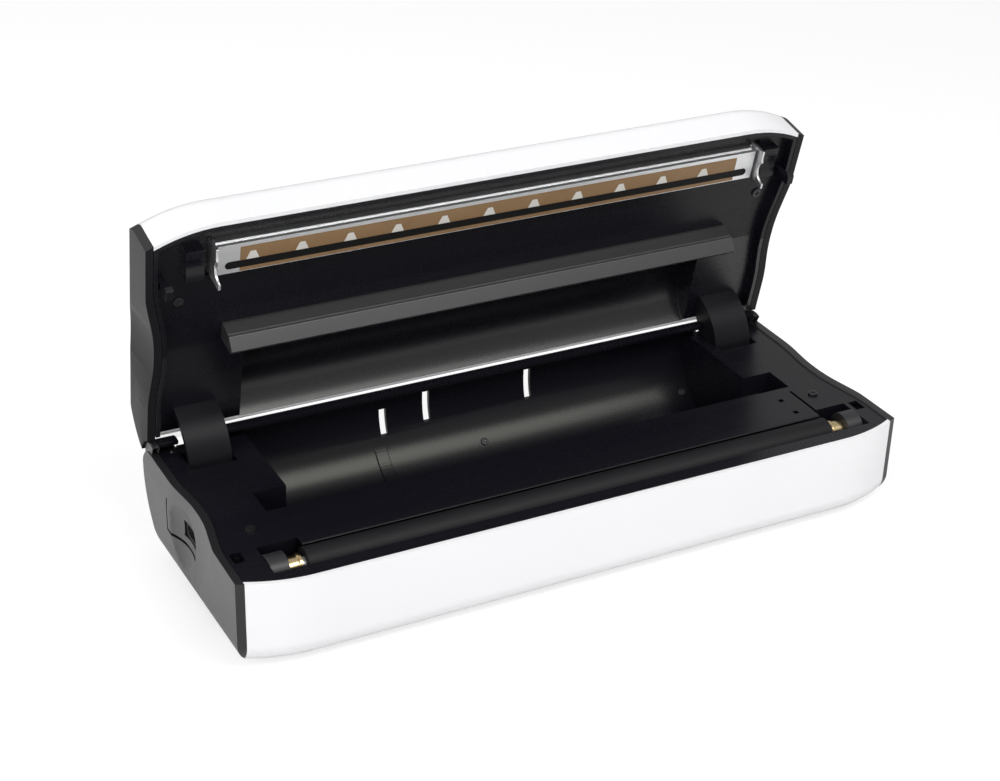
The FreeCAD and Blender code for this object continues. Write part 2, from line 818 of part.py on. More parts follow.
def make_base_inner_panel():
    deck = box("deck", END_TO_END, (PANEL_FRONT, REAR), (DECK_LOW, "-deck_drop"))
    solids = [deck, trough_prism("trough_form", "panel_wall", "trough_half + panel_wall", "-deck_drop")]
    hollows = [trough_prism("trough_room", "0", "trough_half", "panel_wall")]
    channel_end = f"{BLOCK_END} + slide_gap"
    solids.append(
        box(
            "channel_form",
            along(f"{channel_end} + panel_wall"),
            ("channel_front - panel_wall", "channel_back + panel_wall"),
            ("-channel_depth - panel_wall", "-deck_drop"),
        )
    )
    hollows.append(
        box("channel_room", along(channel_end), ("channel_front", "channel_back"), ("-channel_depth", ABOVE))
    )
    openings = []
    bores = []
    for name, side in SIDES:
        pocket_y = ("trough_front", "trough_front + pocket_length")
        solids.append(
            box(
                f"pocket_form_{name}",
                inner_span(side, "trough_half", "pocket_half + panel_wall"),
                ("trough_front - panel_wall", "trough_front + pocket_length + panel_wall"),
                ("-pocket_depth - panel_wall", "-deck_drop"),
            )
        )
        pocket_x = inner_span(side, "trough_half - panel_wall", "pocket_half")
        hollows.append(box(f"pocket_room_{name}", pocket_x, pocket_y, ("-pocket_depth", ABOVE)))
        housing_y = (f"{CATCH_NOSE} - catch_length", f"{BARB_FRONT} - slot_margin")
        solids.append(
            box(
                f"housing_form_{name}",
                span(side, "hook_start - slide_gap - housing_wall", f"{HOOK_END} + slide_gap + housing_wall"),
                housing_y,
                (f"{CATCH_LOW} - slide_gap - housing_wall", "-deck_drop"),
            )
        )
        tunnel = span(side, "hook_start - slide_gap", f"{HOOK_END} + slide_gap")
        hollows.append(
            box(
                f"housing_room_{name}",
                tunnel,
                (f"{CATCH_NOSE} - 2 * catch_length", "hook_front + hook_shank"),
                (f"{CATCH_LOW} - slide_gap", f"{CATCH_HIGH} + slide_gap"),
            )
        )
        slot_y = (f"{BARB_FRONT} - slot_margin", "hook_front + hook_shank + slot_margin")
        slot_x = span(side, "hook_start - slot_margin", f"{HOOK_END} + slot_margin")
        hollows.append(box(f"latch_slot_{name}", slot_x, slot_y, (BELOW, ABOVE)))
        hollows.append(screw_hole(f"deck_screw_hole_{name}", f"{side} * deck_screw_x", "deck_screw_back"))
        rear_start = "trough_half - inner_shift"
        solids.append(
            box(
                f"rear_wall_{name}",
                span(side, rear_start, HALF),
                (f"{REAR} - panel_wall", REAR),
                ("-rear_edge_drop + fit_gap", "-deck_drop"),
            )
        )
        arm = span(side, "arm_inner - arm_gap", f"{ARM_OUTER} + arm_gap")
        cheeks = (("inside", "arm_inner - arm_gap - cheek"), ("outside", f"{ARM_OUTER} + arm_gap"))
        for place, inner in cheeks:
            solids.append(
                box(
                    f"cheek_{place}_{name}",
                    span(side, inner, f"{inner} + cheek"),
                    ("hinge_setback - cheek_front", REAR),
                    ("-cheek_depth", "-deck_drop"),
                )
            )
        arm_y = ("hinge_setback - arm_slot", f"{REAR} + cover_wall")
        openings.append(box(f"arm_opening_{name}", arm, arm_y, (BELOW, ABOVE)))
        axis = ("hinge_setback", "-hinge_drop")
        shaft_x = span(side, "arm_inner - arm_gap - cheek - fit_gap", CHEEK_END)
        head_x = span(side, CHEEK_END, f"{CHEEK_END} + pin_head + fit_gap")
        bores.append(rod(f"pin_bore_{name}", "pin_radius", shaft_x, *axis))
        bores.append(rod(f"pin_head_bore_{name}", "pin_head_radius + fit_gap", head_x, *axis))
    hollows += small_openings()
    blank = cut("base_panel_blank", fuse("base_panel_form", *solids), *hollows)
    lip = cut(
        "hinge_lip",
        sector("hinge_lip_form", "barrel_radius", END_TO_END, 0, "lip_sweep_angle"),
        rod("hinge_lip_room", "barrel_radius - panel_wall", END_TO_END, "hinge_setback", "-hinge_drop"),
    )
    full = cut("base_panel_full", fuse("base_panel_lipped", blank, lip), *openings, *bores)
    edge = plan("base_panel_plan", PANEL_SIDE, PANEL_FRONT)
    node("base_inner_panel", common("base_inner_panel", full, edge), base_pose)


def small_openings():
    """Rear slots, deck holes, a deck line and the two notches of the front rim."""
    rear_y = ("hinge_setback", f"{REAR} + cover_wall")
    slots = (
        ("low", "low_slot_x", "low_slot_top", "low_slot_height"),
        ("left", "left_slot_x", "view_slot_top", "view_slot_height"),
        ("right", "right_slot_x", "view_slot_top", "view_slot_height"),
    )
    tools = []
    for name, x, top, height in slots:
        width = (f"{x} - view_slot_width / 2", f"{x} + view_slot_width / 2")
        tools.append(box(f"rear_slot_{name}", width, rear_y, (f"-{top} - {height}", f"-{top}")))
    shallow = ("-deck_drop - panel_wall / 2", ABOVE)
    hole_x = ("hole_x - hole_size / 2", "hole_x + hole_size / 2")
    for number in range(2):
        front = f"hole_front + {number} * hole_pitch"
        tools.append(box(f"deck_hole_{number}", hole_x, (front, f"{front} + hole_size"), (BELOW, ABOVE)))
        x = f"{number} * notch_pitch"
        notch_x = (f"{x} - notch_width / 2", f"{x} + notch_width / 2")
        tools.append(box(f"rim_notch_{number}", notch_x, ("0", f"{PANEL_FRONT} + notch_depth"), shallow))
    line_x = ("line_x - line_width / 2", "line_x + line_width / 2")
    tools.append(box("deck_line", line_x, ("line_front", "line_back"), shallow))
    port_y = ("trough_front - 2 * panel_wall", "trough_front + 2 * trough_lean")
    tools.append(bar_along_y("air_port", "hose_bore", PORT[0], port_y, PORT[1]))
    return tools


# Pressure roller: a rubber sleeve on a steel core that turns in brass bushes held by two bearing blocks.
def make_roller():
    place = ("roller_back", "-roller_drop")
    middle = rod("core_middle", "core_radius", along("core_half"), *place)
    journals = rod("core_journals", "journal_radius", along(f"{BLOCK_END} - fit_gap"), *place)
    node("roller_core", fuse("roller_core", middle, journals), base_pose)
    sleeve = rod("sleeve_form", "roller_radius", along("roller_half"), *place)
    bore = rod("sleeve_bore", "core_radius", END_TO_END, *place)
    node("roller_sleeve", cut("roller_sleeve", sleeve, bore), base_pose)
    for name, side in SIDES:
        bush_end = "bush_start + bush_length"
        flange_x = inner_span(side, "bush_start", "bush_start + bush_flange")
        flange = rod(f"bush_flange_{name}", "bush_flange_radius", flange_x, *place)
        barrel = rod(f"bush_barrel_{name}", "bush_radius", inner_span(side, "bush_start", bush_end), *place)
        spigot_end = f"{BLOCK_START} + bush_spigot"
        spigot_x = inner_span(side, "bush_start", spigot_end)
        spigot = rod(f"bush_spigot_{name}", "bush_spigot_radius", spigot_x, *place)
        through = inner_span(side, "0", HALF)
        run = rod(f"bush_run_{name}", "journal_radius + running_gap", through, *place)
        bush = fuse(f"bush_form_{name}", flange, barrel, spigot)
        node(f"brass_bush_{name}", cut(f"brass_bush_{name}", bush, run), base_pose)
        x = inner_span(side, BLOCK_START, BLOCK_END)
        dome = rod(f"block_dome_{name}", "block_radius", x, *place)
        foot_y = ("roller_back - block_radius", "roller_back + block_radius")
        foot = box(f"block_foot_{name}", x, foot_y, ("-channel_depth", "-roller_drop"))
        seat = rod(f"block_seat_{name}", "bush_spigot_radius", inner_span(side, "0", spigot_end), *place)
        block_run = rod(f"block_run_{name}", "journal_radius + running_gap", through, *place)
        block = fuse(f"block_form_{name}", dome, foot)
        node(f"roller_bearing_{name}", cut(f"roller_bearing_{name}", block, seat, block_run), base_pose)


# Latches: two hooks under the lid and two sliding catches below the deck.
def make_latches():
    barb_corners = [
        (BARB_FRONT, BARB_TOP),
        ("hook_front", BARB_TOP),
        ("hook_front", "-hook_drop"),
        (f"{BARB_FRONT} + barb_height / 2", "-hook_drop"),
    ]
    bevel_corners = [
        (f"{CATCH_NOSE} - catch_height / 2", CATCH_HIGH),
        (CATCH_NOSE, CATCH_HIGH),
        (CATCH_NOSE, f"{CATCH_HIGH} - catch_height / 2"),
    ]
    shank_y = ("hook_front", "hook_front + hook_shank")
    slide_y = (f"{CATCH_NOSE} - catch_length", CATCH_NOSE)
    for name, side in SIDES:
        x = span(side, "hook_start", HOOK_END)
        shank = box(f"hook_shank_{name}", x, shank_y, ("-hook_drop", "panel_recess"))
        barb = prism(f"hook_barb_{name}", "YZ_Plane", barb_corners, *x)
        node(f"latch_hook_{name}", fuse(f"latch_hook_{name}", shank, barb), lid_pose)
        slide = box(f"catch_slide_{name}", x, slide_y, (CATCH_LOW, CATCH_HIGH))
        bevel = prism(f"catch_bevel_{name}", "YZ_Plane", bevel_corners, *x)
        node(f"latch_catch_{name}", cut(f"latch_catch_{name}", slide, bevel), base_pose)


# Lid shells: the white cover and the black inner panel with the lid half of the roll trough.
def make_lid_cover():
    between_caps = side_to_side("lid_cover_sides", "cap_wall + fit_gap")
    outer = common("lid_shell", lid_form("cover", "0", "seam_gap"), between_caps)
    hollow = lid_form("room", "cover_wall", "-cover_wall")
    opening = console_block("console_opening", "fit_gap", "lid_front_radius", "-lid_front_radius")
    shell = cut("lid_cover_shell", outer, hollow, hinge_sweep("lid_sweep"), opening)
    start = SIZES["hem_start_angle"]
    ring = sector("lid_hem_form", f"{SWEEP} + hem_wall", END_TO_END, start, "hem_sweep_angle")
    edge = common("lid_hem_edge", ring, side_to_side("lid_hem_sides", "cap_wall + fit_gap"))
    hem = cut("lid_hem", edge, hinge_sweep("lid_hem_sweep"))
    node("lid_cover", fuse("lid_cover", shell, hem), lid_pose)


def make_lid_inner_panel():
    plate_z = ("panel_recess", "panel_recess + panel_wall")
    solids = [box("lid_plate", END_TO_END, (PANEL_FRONT, "lid_rear_reach"), plate_z)]
    trough = ("lid_trough_back", "-lid_trough_drop")
    wide = "trough_half + panel_wall"
    solids.append(rod("lid_trough_form", "lid_trough_radius + panel_wall", along(wide), *trough))
    hollows = [rod("lid_trough_room", "lid_trough_radius", along("trough_half"), *trough)]
    end = "bar_half + bar_end_room"
    bar_y = (f"{BAR_FRONT} - bar_margin", f"{BAR_BACK} + bar_margin")
    solids.append(
        box(
            "bar_channel_form",
            along(f"{end} + panel_wall"),
            (f"{bar_y[0]} - panel_wall", f"{bar_y[1]} + panel_wall"),
            ("panel_recess", f"{BAR_ROOT} + panel_wall"),
        )
    )
    pads = []
    seats = []
    hollows.append(box("bar_channel_room", along(end), bar_y, (BELOW, BAR_ROOT)))
    for name, side in SIDES:
        x = inner_span(side, f"{BLOCK_START} + slide_gap", BLOCK_END)
        pad_y = ("roller_back - block_radius", "roller_back + block_radius")
        pads.append(box(f"clamp_pad_form_{name}", x, pad_y, ("seam_gap", "panel_recess + panel_wall / 2")))
        dome_room = "block_radius + panel_wall / 2"
        seats.append(rod(f"clamp_pad_seat_{name}", dome_room, x, "roller_back", "-roller_drop"))
        hollows.append(screw_hole(f"lid_screw_hole_{name}", f"{side} * lid_screw_x", "lid_screw_back"))
    under_z = ("-2 * lid_trough_radius", "panel_recess")
    under = box("under_lid_panel", END_TO_END, ("-cover_wall", "2 * lid_rear_reach"), under_z)
    sweep = hinge_sweep("panel_sweep", "hem_wall + fit_gap")
    plain = cut("lid_panel_plain", fuse("lid_panel_form", *solids), *hollows, under, sweep)
    clamp = cut("clamp_pads", fuse("clamp_pad_forms", *pads), *seats)
    full = fuse("lid_panel_full", plain, clamp, lid_rim())
    inside = lid_form("panel_room", PANEL_FRONT, "-cover_wall")
    edge = side_to_side("lid_panel_sides", PANEL_SIDE)
    node("lid_inner_panel", common("lid_inner_panel", full, inside, edge), lid_pose)


def lid_rim():
    """The narrow wall of the lid panel that stands just inside the front and the ends of the lid."""
    outside = plan("lid_rim_plan", PANEL_SIDE, PANEL_FRONT)
    inside = plan("lid_rim_room", f"{PANEL_SIDE} + panel_wall", f"{PANEL_FRONT} + panel_wall")
    height = ("seam_gap", "panel_recess + panel_wall")
    band = box("lid_rim_band", END_TO_END, ("0", f"hinge_setback - {SWEEP} - panel_wall"), height)
    return cut("lid_rim", common("lid_rim_form", outside, band), inside)


# Heating bar: an aluminium channel with an insulating tape, the heating strip and two steel end plates.
def make_heating_bar():
    y = (BAR_FRONT, BAR_BACK)
    bar = box("bar_form", along("bar_half"), y, ("bar_face", BAR_ROOT))
    groove_y = (f"{BAR_FRONT} - bar_groove", f"{BAR_FRONT} + bar_groove")
    groove_z = ("bar_face + bar_groove_low", "bar_face + bar_groove_high")
    groove = box("bar_groove", END_TO_END, groove_y, groove_z)
    strip_y = (f"{BAR_BACK} - strip_edge - strip_width", f"{BAR_BACK} - strip_edge")
    tape_y = (f"{strip_y[0]} - tape_width", strip_y[0])
    seat_z = ("-bar_height", "bar_face + strip_seat")
    strip_seat = rounded_strip("strip_seat", "strip_half", strip_y, seat_z)
    tape_seat = box("tape_seat", along("tape_half"), tape_y, seat_z)
    node("heating_bar", cut("heating_bar", bar, groove, strip_seat, tape_seat), lid_pose)
    seat = "bar_face + strip_seat"
    strip_z = (f"{seat} - strip_thickness", seat)
    node("heating_strip", rounded_strip("heating_strip", "strip_half", strip_y, strip_z), lid_pose)
    tape = box("tape_form", along("tape_half"), tape_y, (f"{seat} - tape_thickness", seat))
    edge = rounded_strip("tape_edge", "strip_half", strip_y, seat_z)
    node("insulating_tape", cut("insulating_tape", tape, edge), lid_pose)
    for name, side in SIDES:
        front = f"{BAR_FRONT} - plate_overhang"
        back = f"{BAR_BACK} + plate_overhang"
        x = inner_span(side, "plate_start", "plate_start + plate_thickness")
        corners = [
            (front, BAR_ROOT),
            (front, "-plate_ear"),
            (f"{front} + plate_arm", "-plate_ear"),
            (f"{back} - plate_arm", "-plate_hook"),
            (back, "-plate_hook"),
            (back, BAR_ROOT),
        ]
        blank = prism(f"plate_form_{name}", "YZ_Plane", corners, *x)
        notch_radius = "bush_radius + plate_notch_gap"
        notch = rod(f"plate_notch_{name}", notch_radius, END_TO_END, "roller_back", "-roller_drop")
        tab_x = inner_span(side, "bar_half", "plate_start + plate_thickness")
        tab = box(f"plate_tab_{name}", tab_x, y, (f"{BAR_ROOT} - plate_thickness", BAR_ROOT))
        plate = cut(f"plate_cut_{name}", blank, notch)
        node(f"bar_end_plate_{name}", fuse(f"bar_end_plate_{name}", plate, tab), lid_pose)


def rounded_strip(name, half, y, z):
    """A long flat strip with round ends."""
    radius = f"(({y[1]}) - ({y[0]})) / 2"
    middle = f"(({y[1]}) + ({y[0]})) / 2"
    straight = f"{half} - {radius}"
    parts = [box(name + "_middle", along(straight), y, z)]
    for number, sign in enumerate((-1, 1)):
        parts.append(post(f"{name}_end_{number}", radius, f"inner_shift + {sign} * ({straight})", middle, z))
    return fuse(name, *parts)


# Film guide rail: the wedge across the lid that tucks the bag film into the trough.
def make_rail():
    corners = [
        ("rail_front", "panel_recess"),
        ("rail_front", "rail_brow"),
        ("rail_front + rail_step", "-rail_shoulder"),
        ("rail_nose_back", "-rail_drop"),
        ("rail_back", "-rail_heel"),
        ("rail_back", "panel_recess"),
    ]
    wedge = prism("rail_form", "YZ_Plane", corners, *along("rail_half"))
    line_z = ("-rail_shoulder + 2 * rail_line", "-rail_shoulder + 3 * rail_line")
    line = box("rail_groove", END_TO_END, ("rail_front", "rail_front + rail_step"), line_z)
    node("film_guide_rail", cut("film_guide_rail", wedge, line), lid_pose)


# Hinge: two broad curved straps on the lid, each with a web and a hub that turns on a pin between cheeks.
def make_hinge():
    axis = ("hinge_setback", "-hinge_drop")
    curve = ("hinge_setback + arm_curve_back", "arm_curve_rise - hinge_drop")
    for name, side in SIDES:
        x = span(side, "arm_inner", ARM_OUTER)
        wedge = sector(f"arm_form_{name}", "arm_radius", x, SIZES["arm_start_angle"], "arm_sweep_angle")
        strap = common(f"arm_strap_{name}", wedge, rod(f"arm_face_{name}", "arm_curve", x, *curve))
        room_x = span(side, "arm_inner + arm_web", f"{ARM_OUTER} + arm_gap")
        room = rod(f"arm_room_{name}", "arm_curve - arm_wall", room_x, *curve)
        above = box(f"arm_top_{name}", END_TO_END, ("0", "2 * hinge_setback"), ("panel_recess", ABOVE))
        hub = rod(f"arm_hub_{name}", "pin_radius + hub_wall", x, *axis)
        bore = rod(f"arm_bore_{name}", "pin_radius + running_gap", END_TO_END, *axis)
        blank = fuse(f"arm_blank_{name}", cut(f"arm_shell_{name}", strap, room), hub)
        node(f"hinge_arm_{name}", cut(f"hinge_arm_{name}", blank, above, bore), lid_pose)
        inner = "arm_inner - arm_gap - cheek"
        outer = f"{CHEEK_END} + pin_head"
        shaft = rod(f"pin_shaft_{name}", "pin_radius", span(side, inner, outer), *axis)
        head = rod(f"pin_head_{name}", "pin_head_radius", span(side, CHEEK_END, outer), *axis)
        node(f"hinge_pin_{name}", fuse(f"hinge_pin_{name}", shaft, head), base_pose)


# Console on top of the lid: a bezel, three push buttons and the board under them.
def slab(name, x, y, low, high):
    """A block whose bottom and top are measured from the lid's top."""
    return box(name, x, y, (f"lid_front_height + ({low})", f"lid_front_height + ({high})"))


def console_block(name, grow, high, low):
    x = (f"-(console_half + {grow})", f"console_half + {grow}")
    y = (f"console_front - {grow}", f"console_front + console_depth + {grow}")
    return slab(name, x, y, low, high)


BUTTONS = (("seal_button", -1), ("vacuum_button", 0), ("stop_button", 1))


def make_console():
    bezel = console_block("console_form", "0", "console_proud", "-cover_wall")
    button_y = ("console_front + button_margin", "console_front + console_depth - button_margin")
    wide_y = (f"{button_y[0]} - slide_gap", f"{button_y[1]} + slide_gap")
    crown = "lid_front_height + button_proud - dish_depth + dish_radius"
    openings = []
    for name, step in BUTTONS:
        x = (f"{step} * button_pitch - button_length / 2", f"{step} * button_pitch + button_length / 2")
        wide_x = (f"{x[0]} - slide_gap", f"{x[1]} + slide_gap")
        openings.append(slab(f"{name}_opening", wide_x, wide_y, "-lid_front_radius", "lid_front_radius"))
        cap = slab(f"{name}_cap", x, button_y, "-button_depth", "button_proud")
        dish = rod(f"{name}_dish", "dish_radius", x, "console_front + console_depth / 2", crown)
        node(name, cut(name, cap, dish), lid_pose)
    legs = []
    leg_places = (("front", "console_front"), ("back", "console_front + console_depth - rib_width"))
    for name, side in SIDES:
        leg_x = span(side, "console_half - rib_width", "console_half")
        for place, y in leg_places:
            leg_y = (y, f"{y} + rib_width")
            legs.append(slab(f"console_leg_{place}_{name}", leg_x, leg_y, "-board_drop", "-cover_wall / 2"))
    node("control_bezel", fuse("control_bezel", cut("bezel_cut", bezel, *openings), *legs), lid_pose)
    board_x = ("-console_half", "console_half")
    board_y = ("console_front", "console_front + console_depth")
    board_low = "-board_drop - board_thickness"
    board = slab("board_form", board_x, board_y, board_low, "-board_drop")
    chip_x = ("-button_length / 2", "button_length / 2")
    chip_top = f"{board_low} + board_thickness / 2"
    chip = slab("board_chip", chip_x, button_y, f"{board_low} - board_thickness", chip_top)
    node("control_board", fuse("control_board", board, chip), lid_pose)


# Inside the base: transformer, power board, pump and its hose, all standing on the cover's ribs.
SHELF = "-shelf_drop"
RIB_MIDDLE = "(rib_front + rib_back + rib_width) / 2"


def make_transformer():
    core_x = ("transformer_x", "transformer_x + transformer_length")
    core_y = (f"{RIB_MIDDLE} - transformer_depth / 2", f"{RIB_MIDDLE} + transformer_depth / 2")
    core = box("transformer_core", core_x, core_y, (SHELF, f"{SHELF} + transformer_height"))
    coil_x = (f"{core_x[0]} + 3 * coil_proud", f"{core_x[1]} - 3 * coil_proud")
    coil_y = (f"{core_y[0]} - coil_proud", f"{core_y[1]} + coil_proud")
    coil_z = (f"{SHELF} + coil_proud", f"{SHELF} + transformer_height - coil_proud")
    coil = box("transformer_coil", coil_x, coil_y, coil_z)
    node("transformer", fuse("transformer", core, coil), base_pose)


def make_power_board():
    board_x = ("power_board_x", "power_board_x + power_board_length")
    board_y = (f"{RIB_MIDDLE} - power_board_depth / 2", f"{RIB_MIDDLE} + power_board_depth / 2")
    top = f"{SHELF} + board_thickness"
    board = box("power_board_form", board_x, board_y, (SHELF, top))
    relay_x = ("power_board_x + relay_height", "power_board_x + 3 * relay_height")
    relay_y = (f"{board_y[0]} + rib_width", RIB_MIDDLE)
    relay = box("board_relay", relay_x, relay_y, (top, f"{top} + relay_height"))
    can_x = f"{board_x[1]} - 2 * capacitor_radius"
    can = post("board_capacitor", "capacitor_radius", can_x, RIB_MIDDLE, (top, f"{top} + capacitor_height"))
    node("power_board", fuse("power_board", board, relay, can), base_pose)


def make_pump():
    axis = ("motor_back", f"{SHELF} + motor_radius + cover_wall")
    can = rod("motor_can", "motor_radius", ("motor_x", MOTOR_END), *axis)
    collar = rod("motor_collar", "motor_radius / 3", ("motor_x - cover_wall", "motor_x"), *axis)
    node("pump_motor", fuse("pump_motor", can, collar), base_pose)
    saddle_x = (
        "motor_x + (motor_length - saddle_length) / 2",
        "motor_x + (motor_length + saddle_length) / 2",
    )
    saddle_y = ("motor_back - saddle_width / 2", "motor_back + saddle_width / 2")
    saddle = box("saddle_form", saddle_x, saddle_y, (SHELF, axis[1]))
    nest = rod("saddle_nest", "motor_radius", END_TO_END, *axis)
    node("motor_saddle", cut("motor_saddle", saddle, nest), base_pose)
    port_x, port_z = PORT
    pump_back = "motor_back + pump_depth / 2"
    pump_y = ("motor_back - pump_depth / 2", pump_back)
    pump_x = (MOTOR_END, f"{MOTOR_END} + pump_length")
    pump = box("pump_block", pump_x, pump_y, (SHELF, f"{SHELF} + pump_height"))
    nipple_y = ("motor_back", f"{pump_back} + rib_width")
    nipple = bar_along_y("pump_nipple", "hose_bore", port_x, nipple_y, port_z)
    node("air_pump", fuse("air_pump", pump, nipple), base_pose)
    wall_front = f"trough_front - trough_lean * ({port_z} + hose_radius) / trough_depth - panel_wall"
    hose_y = (pump_back, f"{wall_front} - slide_gap")
    hose = bar_along_y("hose_form", "hose_radius", port_x, hose_y, port_z)
    bore = bar_along_y("hose_bore_cut", "hose_bore", port_x, ("0", "hinge_setback"), port_z)
    node("air_hose", cut("air_hose", hose, bore), base_pose)


# Screws that hold the two inner panels.
def make_fasteners():
    decks = []
    lids = []
    for name, side in SIDES:
        deck_x = f"{side} * deck_screw_x"
        lid_x = f"{side} * lid_screw_x"
        decks.append(cross_screw(f"deck_screw_{name}", deck_x, "deck_screw_back", "-deck_drop", 1))
        lids.append(cross_screw(f"lid_screw_{name}", lid_x, "lid_screw_back", "panel_recess", -1))
    node("deck_screws", fuse("deck_screws", *decks), base_pose)
    node("lid_screws", fuse("lid_screws", *lids), lid_pose)


# Four round rubber feet under the level underside.
def make_feet():
    feet = []
    lean = math.cos(math.radians(tilt))
    for name, side in SIDES:
        x = f"{side} * ({HALF} - 2 * foot_inset)"
        for place, back in (("front", "foot_inset"), ("back", "hinge_setback - foot_inset")):
            y = f"({back}) / {lean} - front_setback"
            feet.append(post(f"foot_{place}_{name}", "foot_radius", x, y, ("0", "foot_height")))
    node("rubber_feet", fuse("rubber_feet", *feet), floor_pose)


make_base_cover()
make_end_caps()
make_base_inner_panel()
make_inlet()
make_roller()
make_latches()
make_lid_cover()
make_lid_inner_panel()
make_heating_bar()
make_rail()
make_hinge()
make_console()
make_transformer()
make_power_board()
make_pump()
make_fasteners()
make_feet()
doc.recompute()

failed = [item.Name for item in doc.Objects if {"Invalid", "Error"} & set(item.State)]
if failed:
    raise RuntimeError("not built: " + ", ".join(failed))
for piece in NODES:
    if piece.Shape.isNull() or not piece.Shape.isValid() or not piece.Shape.Solids:
        raise RuntimeError("no sound solid: " + piece.Label)

os.makedirs("parts", exist_ok=True)
for piece in NODES:
    piece.Shape.exportStep(f"parts/{piece.Label}.step")
    room = piece.Shape.BoundBox
    print(f"{piece.Label:24s} solids {len(piece.Shape.Solids)} volume {piece.Shape.Volume:10.1f}")
    print(f"    low corner {room.XMin:7.1f} {room.YMin:7.1f} {room.ZMin:7.1f}")
    print(f"    high corner {room.XMax:7.1f} {room.YMax:7.1f} {room.ZMax:7.1f}")
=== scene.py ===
# %% [markdown]
# # A vacuum sealer with its lid up
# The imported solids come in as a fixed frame, in metres. Everything below dresses that frame:
# it softens the moulded edges, gives each finish its own nodes, adds a few small mouldings,
# and sets up a white table, soft light and the camera.

# %% load the frame
import json
import math

import bmesh
import bpy
from mathutils import Matrix, Vector

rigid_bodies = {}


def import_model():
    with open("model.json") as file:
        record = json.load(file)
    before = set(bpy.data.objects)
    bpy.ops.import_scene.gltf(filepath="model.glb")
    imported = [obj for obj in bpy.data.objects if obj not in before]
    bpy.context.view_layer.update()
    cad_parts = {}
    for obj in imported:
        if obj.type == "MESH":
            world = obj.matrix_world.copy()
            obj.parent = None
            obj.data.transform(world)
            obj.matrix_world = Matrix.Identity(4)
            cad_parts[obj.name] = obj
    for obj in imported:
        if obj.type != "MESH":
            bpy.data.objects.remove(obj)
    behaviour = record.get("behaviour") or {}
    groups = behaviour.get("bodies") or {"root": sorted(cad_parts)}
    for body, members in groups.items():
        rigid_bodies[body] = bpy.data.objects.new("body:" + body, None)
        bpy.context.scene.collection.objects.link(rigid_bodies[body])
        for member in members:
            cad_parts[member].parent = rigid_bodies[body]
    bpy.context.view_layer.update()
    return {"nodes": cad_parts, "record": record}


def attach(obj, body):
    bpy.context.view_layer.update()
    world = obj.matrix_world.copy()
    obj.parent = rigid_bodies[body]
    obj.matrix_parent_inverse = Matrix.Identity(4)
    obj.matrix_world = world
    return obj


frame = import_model()
nodes = frame["nodes"]
scene = bpy.context.scene
for spare in [item for item in scene.objects if item.type in {"CAMERA", "LIGHT"} or item.name == "Cube"]:
    bpy.data.objects.remove(spare)

# %% [markdown]
# Two directions matter for this machine. The base leans a little, because its seam rises to the rear,
# and the lid stands open about the hinge. Drawing details is easiest in the seam's own directions:
# X along the machine, Y back from the front face, Z up from the seam. These two matrices carry a point
# from there to where the base and the open lid really are. The angles could be measured on the meshes, but
# the sizes they are drawn from are exact.

# %% seam directions
HINGE_SETBACK = 0.144
SEAM_RISE = math.atan2(0.0085, HINGE_SETBACK)
FOOT_HEIGHT = 0.002
BASE_FRONT_HEIGHT = 0.0486
SEAM_HEIGHT = FOOT_HEIGHT + BASE_FRONT_HEIGHT * math.cos(SEAM_RISE)
FRONT_SETBACK = 0.08426
HINGE = Vector((0, HINGE_SETBACK, -0.0038))
OPEN_ANGLE = math.radians(77.6)
INNER_SHIFT = 0.003

base_place = Matrix.Translation((0, -FRONT_SETBACK, SEAM_HEIGHT)) @ Matrix.Rotation(SEAM_RISE, 4, "X")
swing = Matrix.Translation(HINGE) @ Matrix.Rotation(-OPEN_ANGLE, 4, "X") @ Matrix.Translation(-HINGE)
lid_place = base_place @ swing
print("hinge line at", [round(part, 4) for part in base_place @ HINGE])

# %% [markdown]
# Shader maths reads best as ordinary sums. This small class holds one output socket; adding, multiplying
# or comparing it makes the Math node for that step, and "through" sends it through a named one such as SINE.
# Any other node comes from one method, which sets the node's options first and then fills or links its
# inputs. Linking nodes by hand would do the same, but a formula would then take a page.

# %% a socket you can do sums with
class Flow:
    """One output of a node tree, with operators that add Math nodes."""

    def __init__(self, tree, socket):
        self.tree = tree
        self.socket = socket

    def node(self, kind, settings=None, inputs=None, output=0):
        made = self.tree.nodes.new(kind)
        for name, setting in (settings or {}).items():
            if name == "stops":
                fill_ramp(made.color_ramp, setting)
            else:
                setattr(made, name, setting)
        for name, value in (inputs or {}).items():
            feed(self.tree, made.inputs[name], value)
        return Flow(self.tree, made.outputs[output])

    def math(self, operation, *values):
        return self.node("ShaderNodeMath", {"operation": operation}, dict(enumerate(values)))

    def through(self, operation, *others):
        return self.math(operation, self, *others)

    def __add__(self, other):
        return self.math("ADD", self, other)

    def __radd__(self, other):
        return self.math("ADD", other, self)

    def __sub__(self, other):
        return self.math("SUBTRACT", self, other)

    def __rsub__(self, other):
        return self.math("SUBTRACT", other, self)

    def __mul__(self, other):
        return self.math("MULTIPLY", self, other)

    def __rmul__(self, other):
        return self.math("MULTIPLY", other, self)

    def __mod__(self, other):
        return self.math("FLOORED_MODULO", self, other)

    def __gt__(self, other):
        return self.math("GREATER_THAN", self, other)

    def __lt__(self, other):
        return self.math("LESS_THAN", self, other)


def feed(tree, socket, value):
    if isinstance(value, Flow):
        tree.links.new(value.socket, socket)
    else:
        socket.default_value = value


def fill_ramp(ramp, stops):
    while len(ramp.elements) < len(stops):
        ramp.elements.new(1.0)
    for element, (place, colour) in zip(ramp.elements, stops):
        element.position = place
        element.color = colour


print("shader sums ready")

# %% [markdown]
# Every finish starts the same way: a new material with a Principled shader, and the point on the surface
# in metres. The point comes from object coordinates, so grain and marks stay on a piece when it moves.
# For the lid the point is turned back to the seam's directions, so that "along the bar" is simply X.

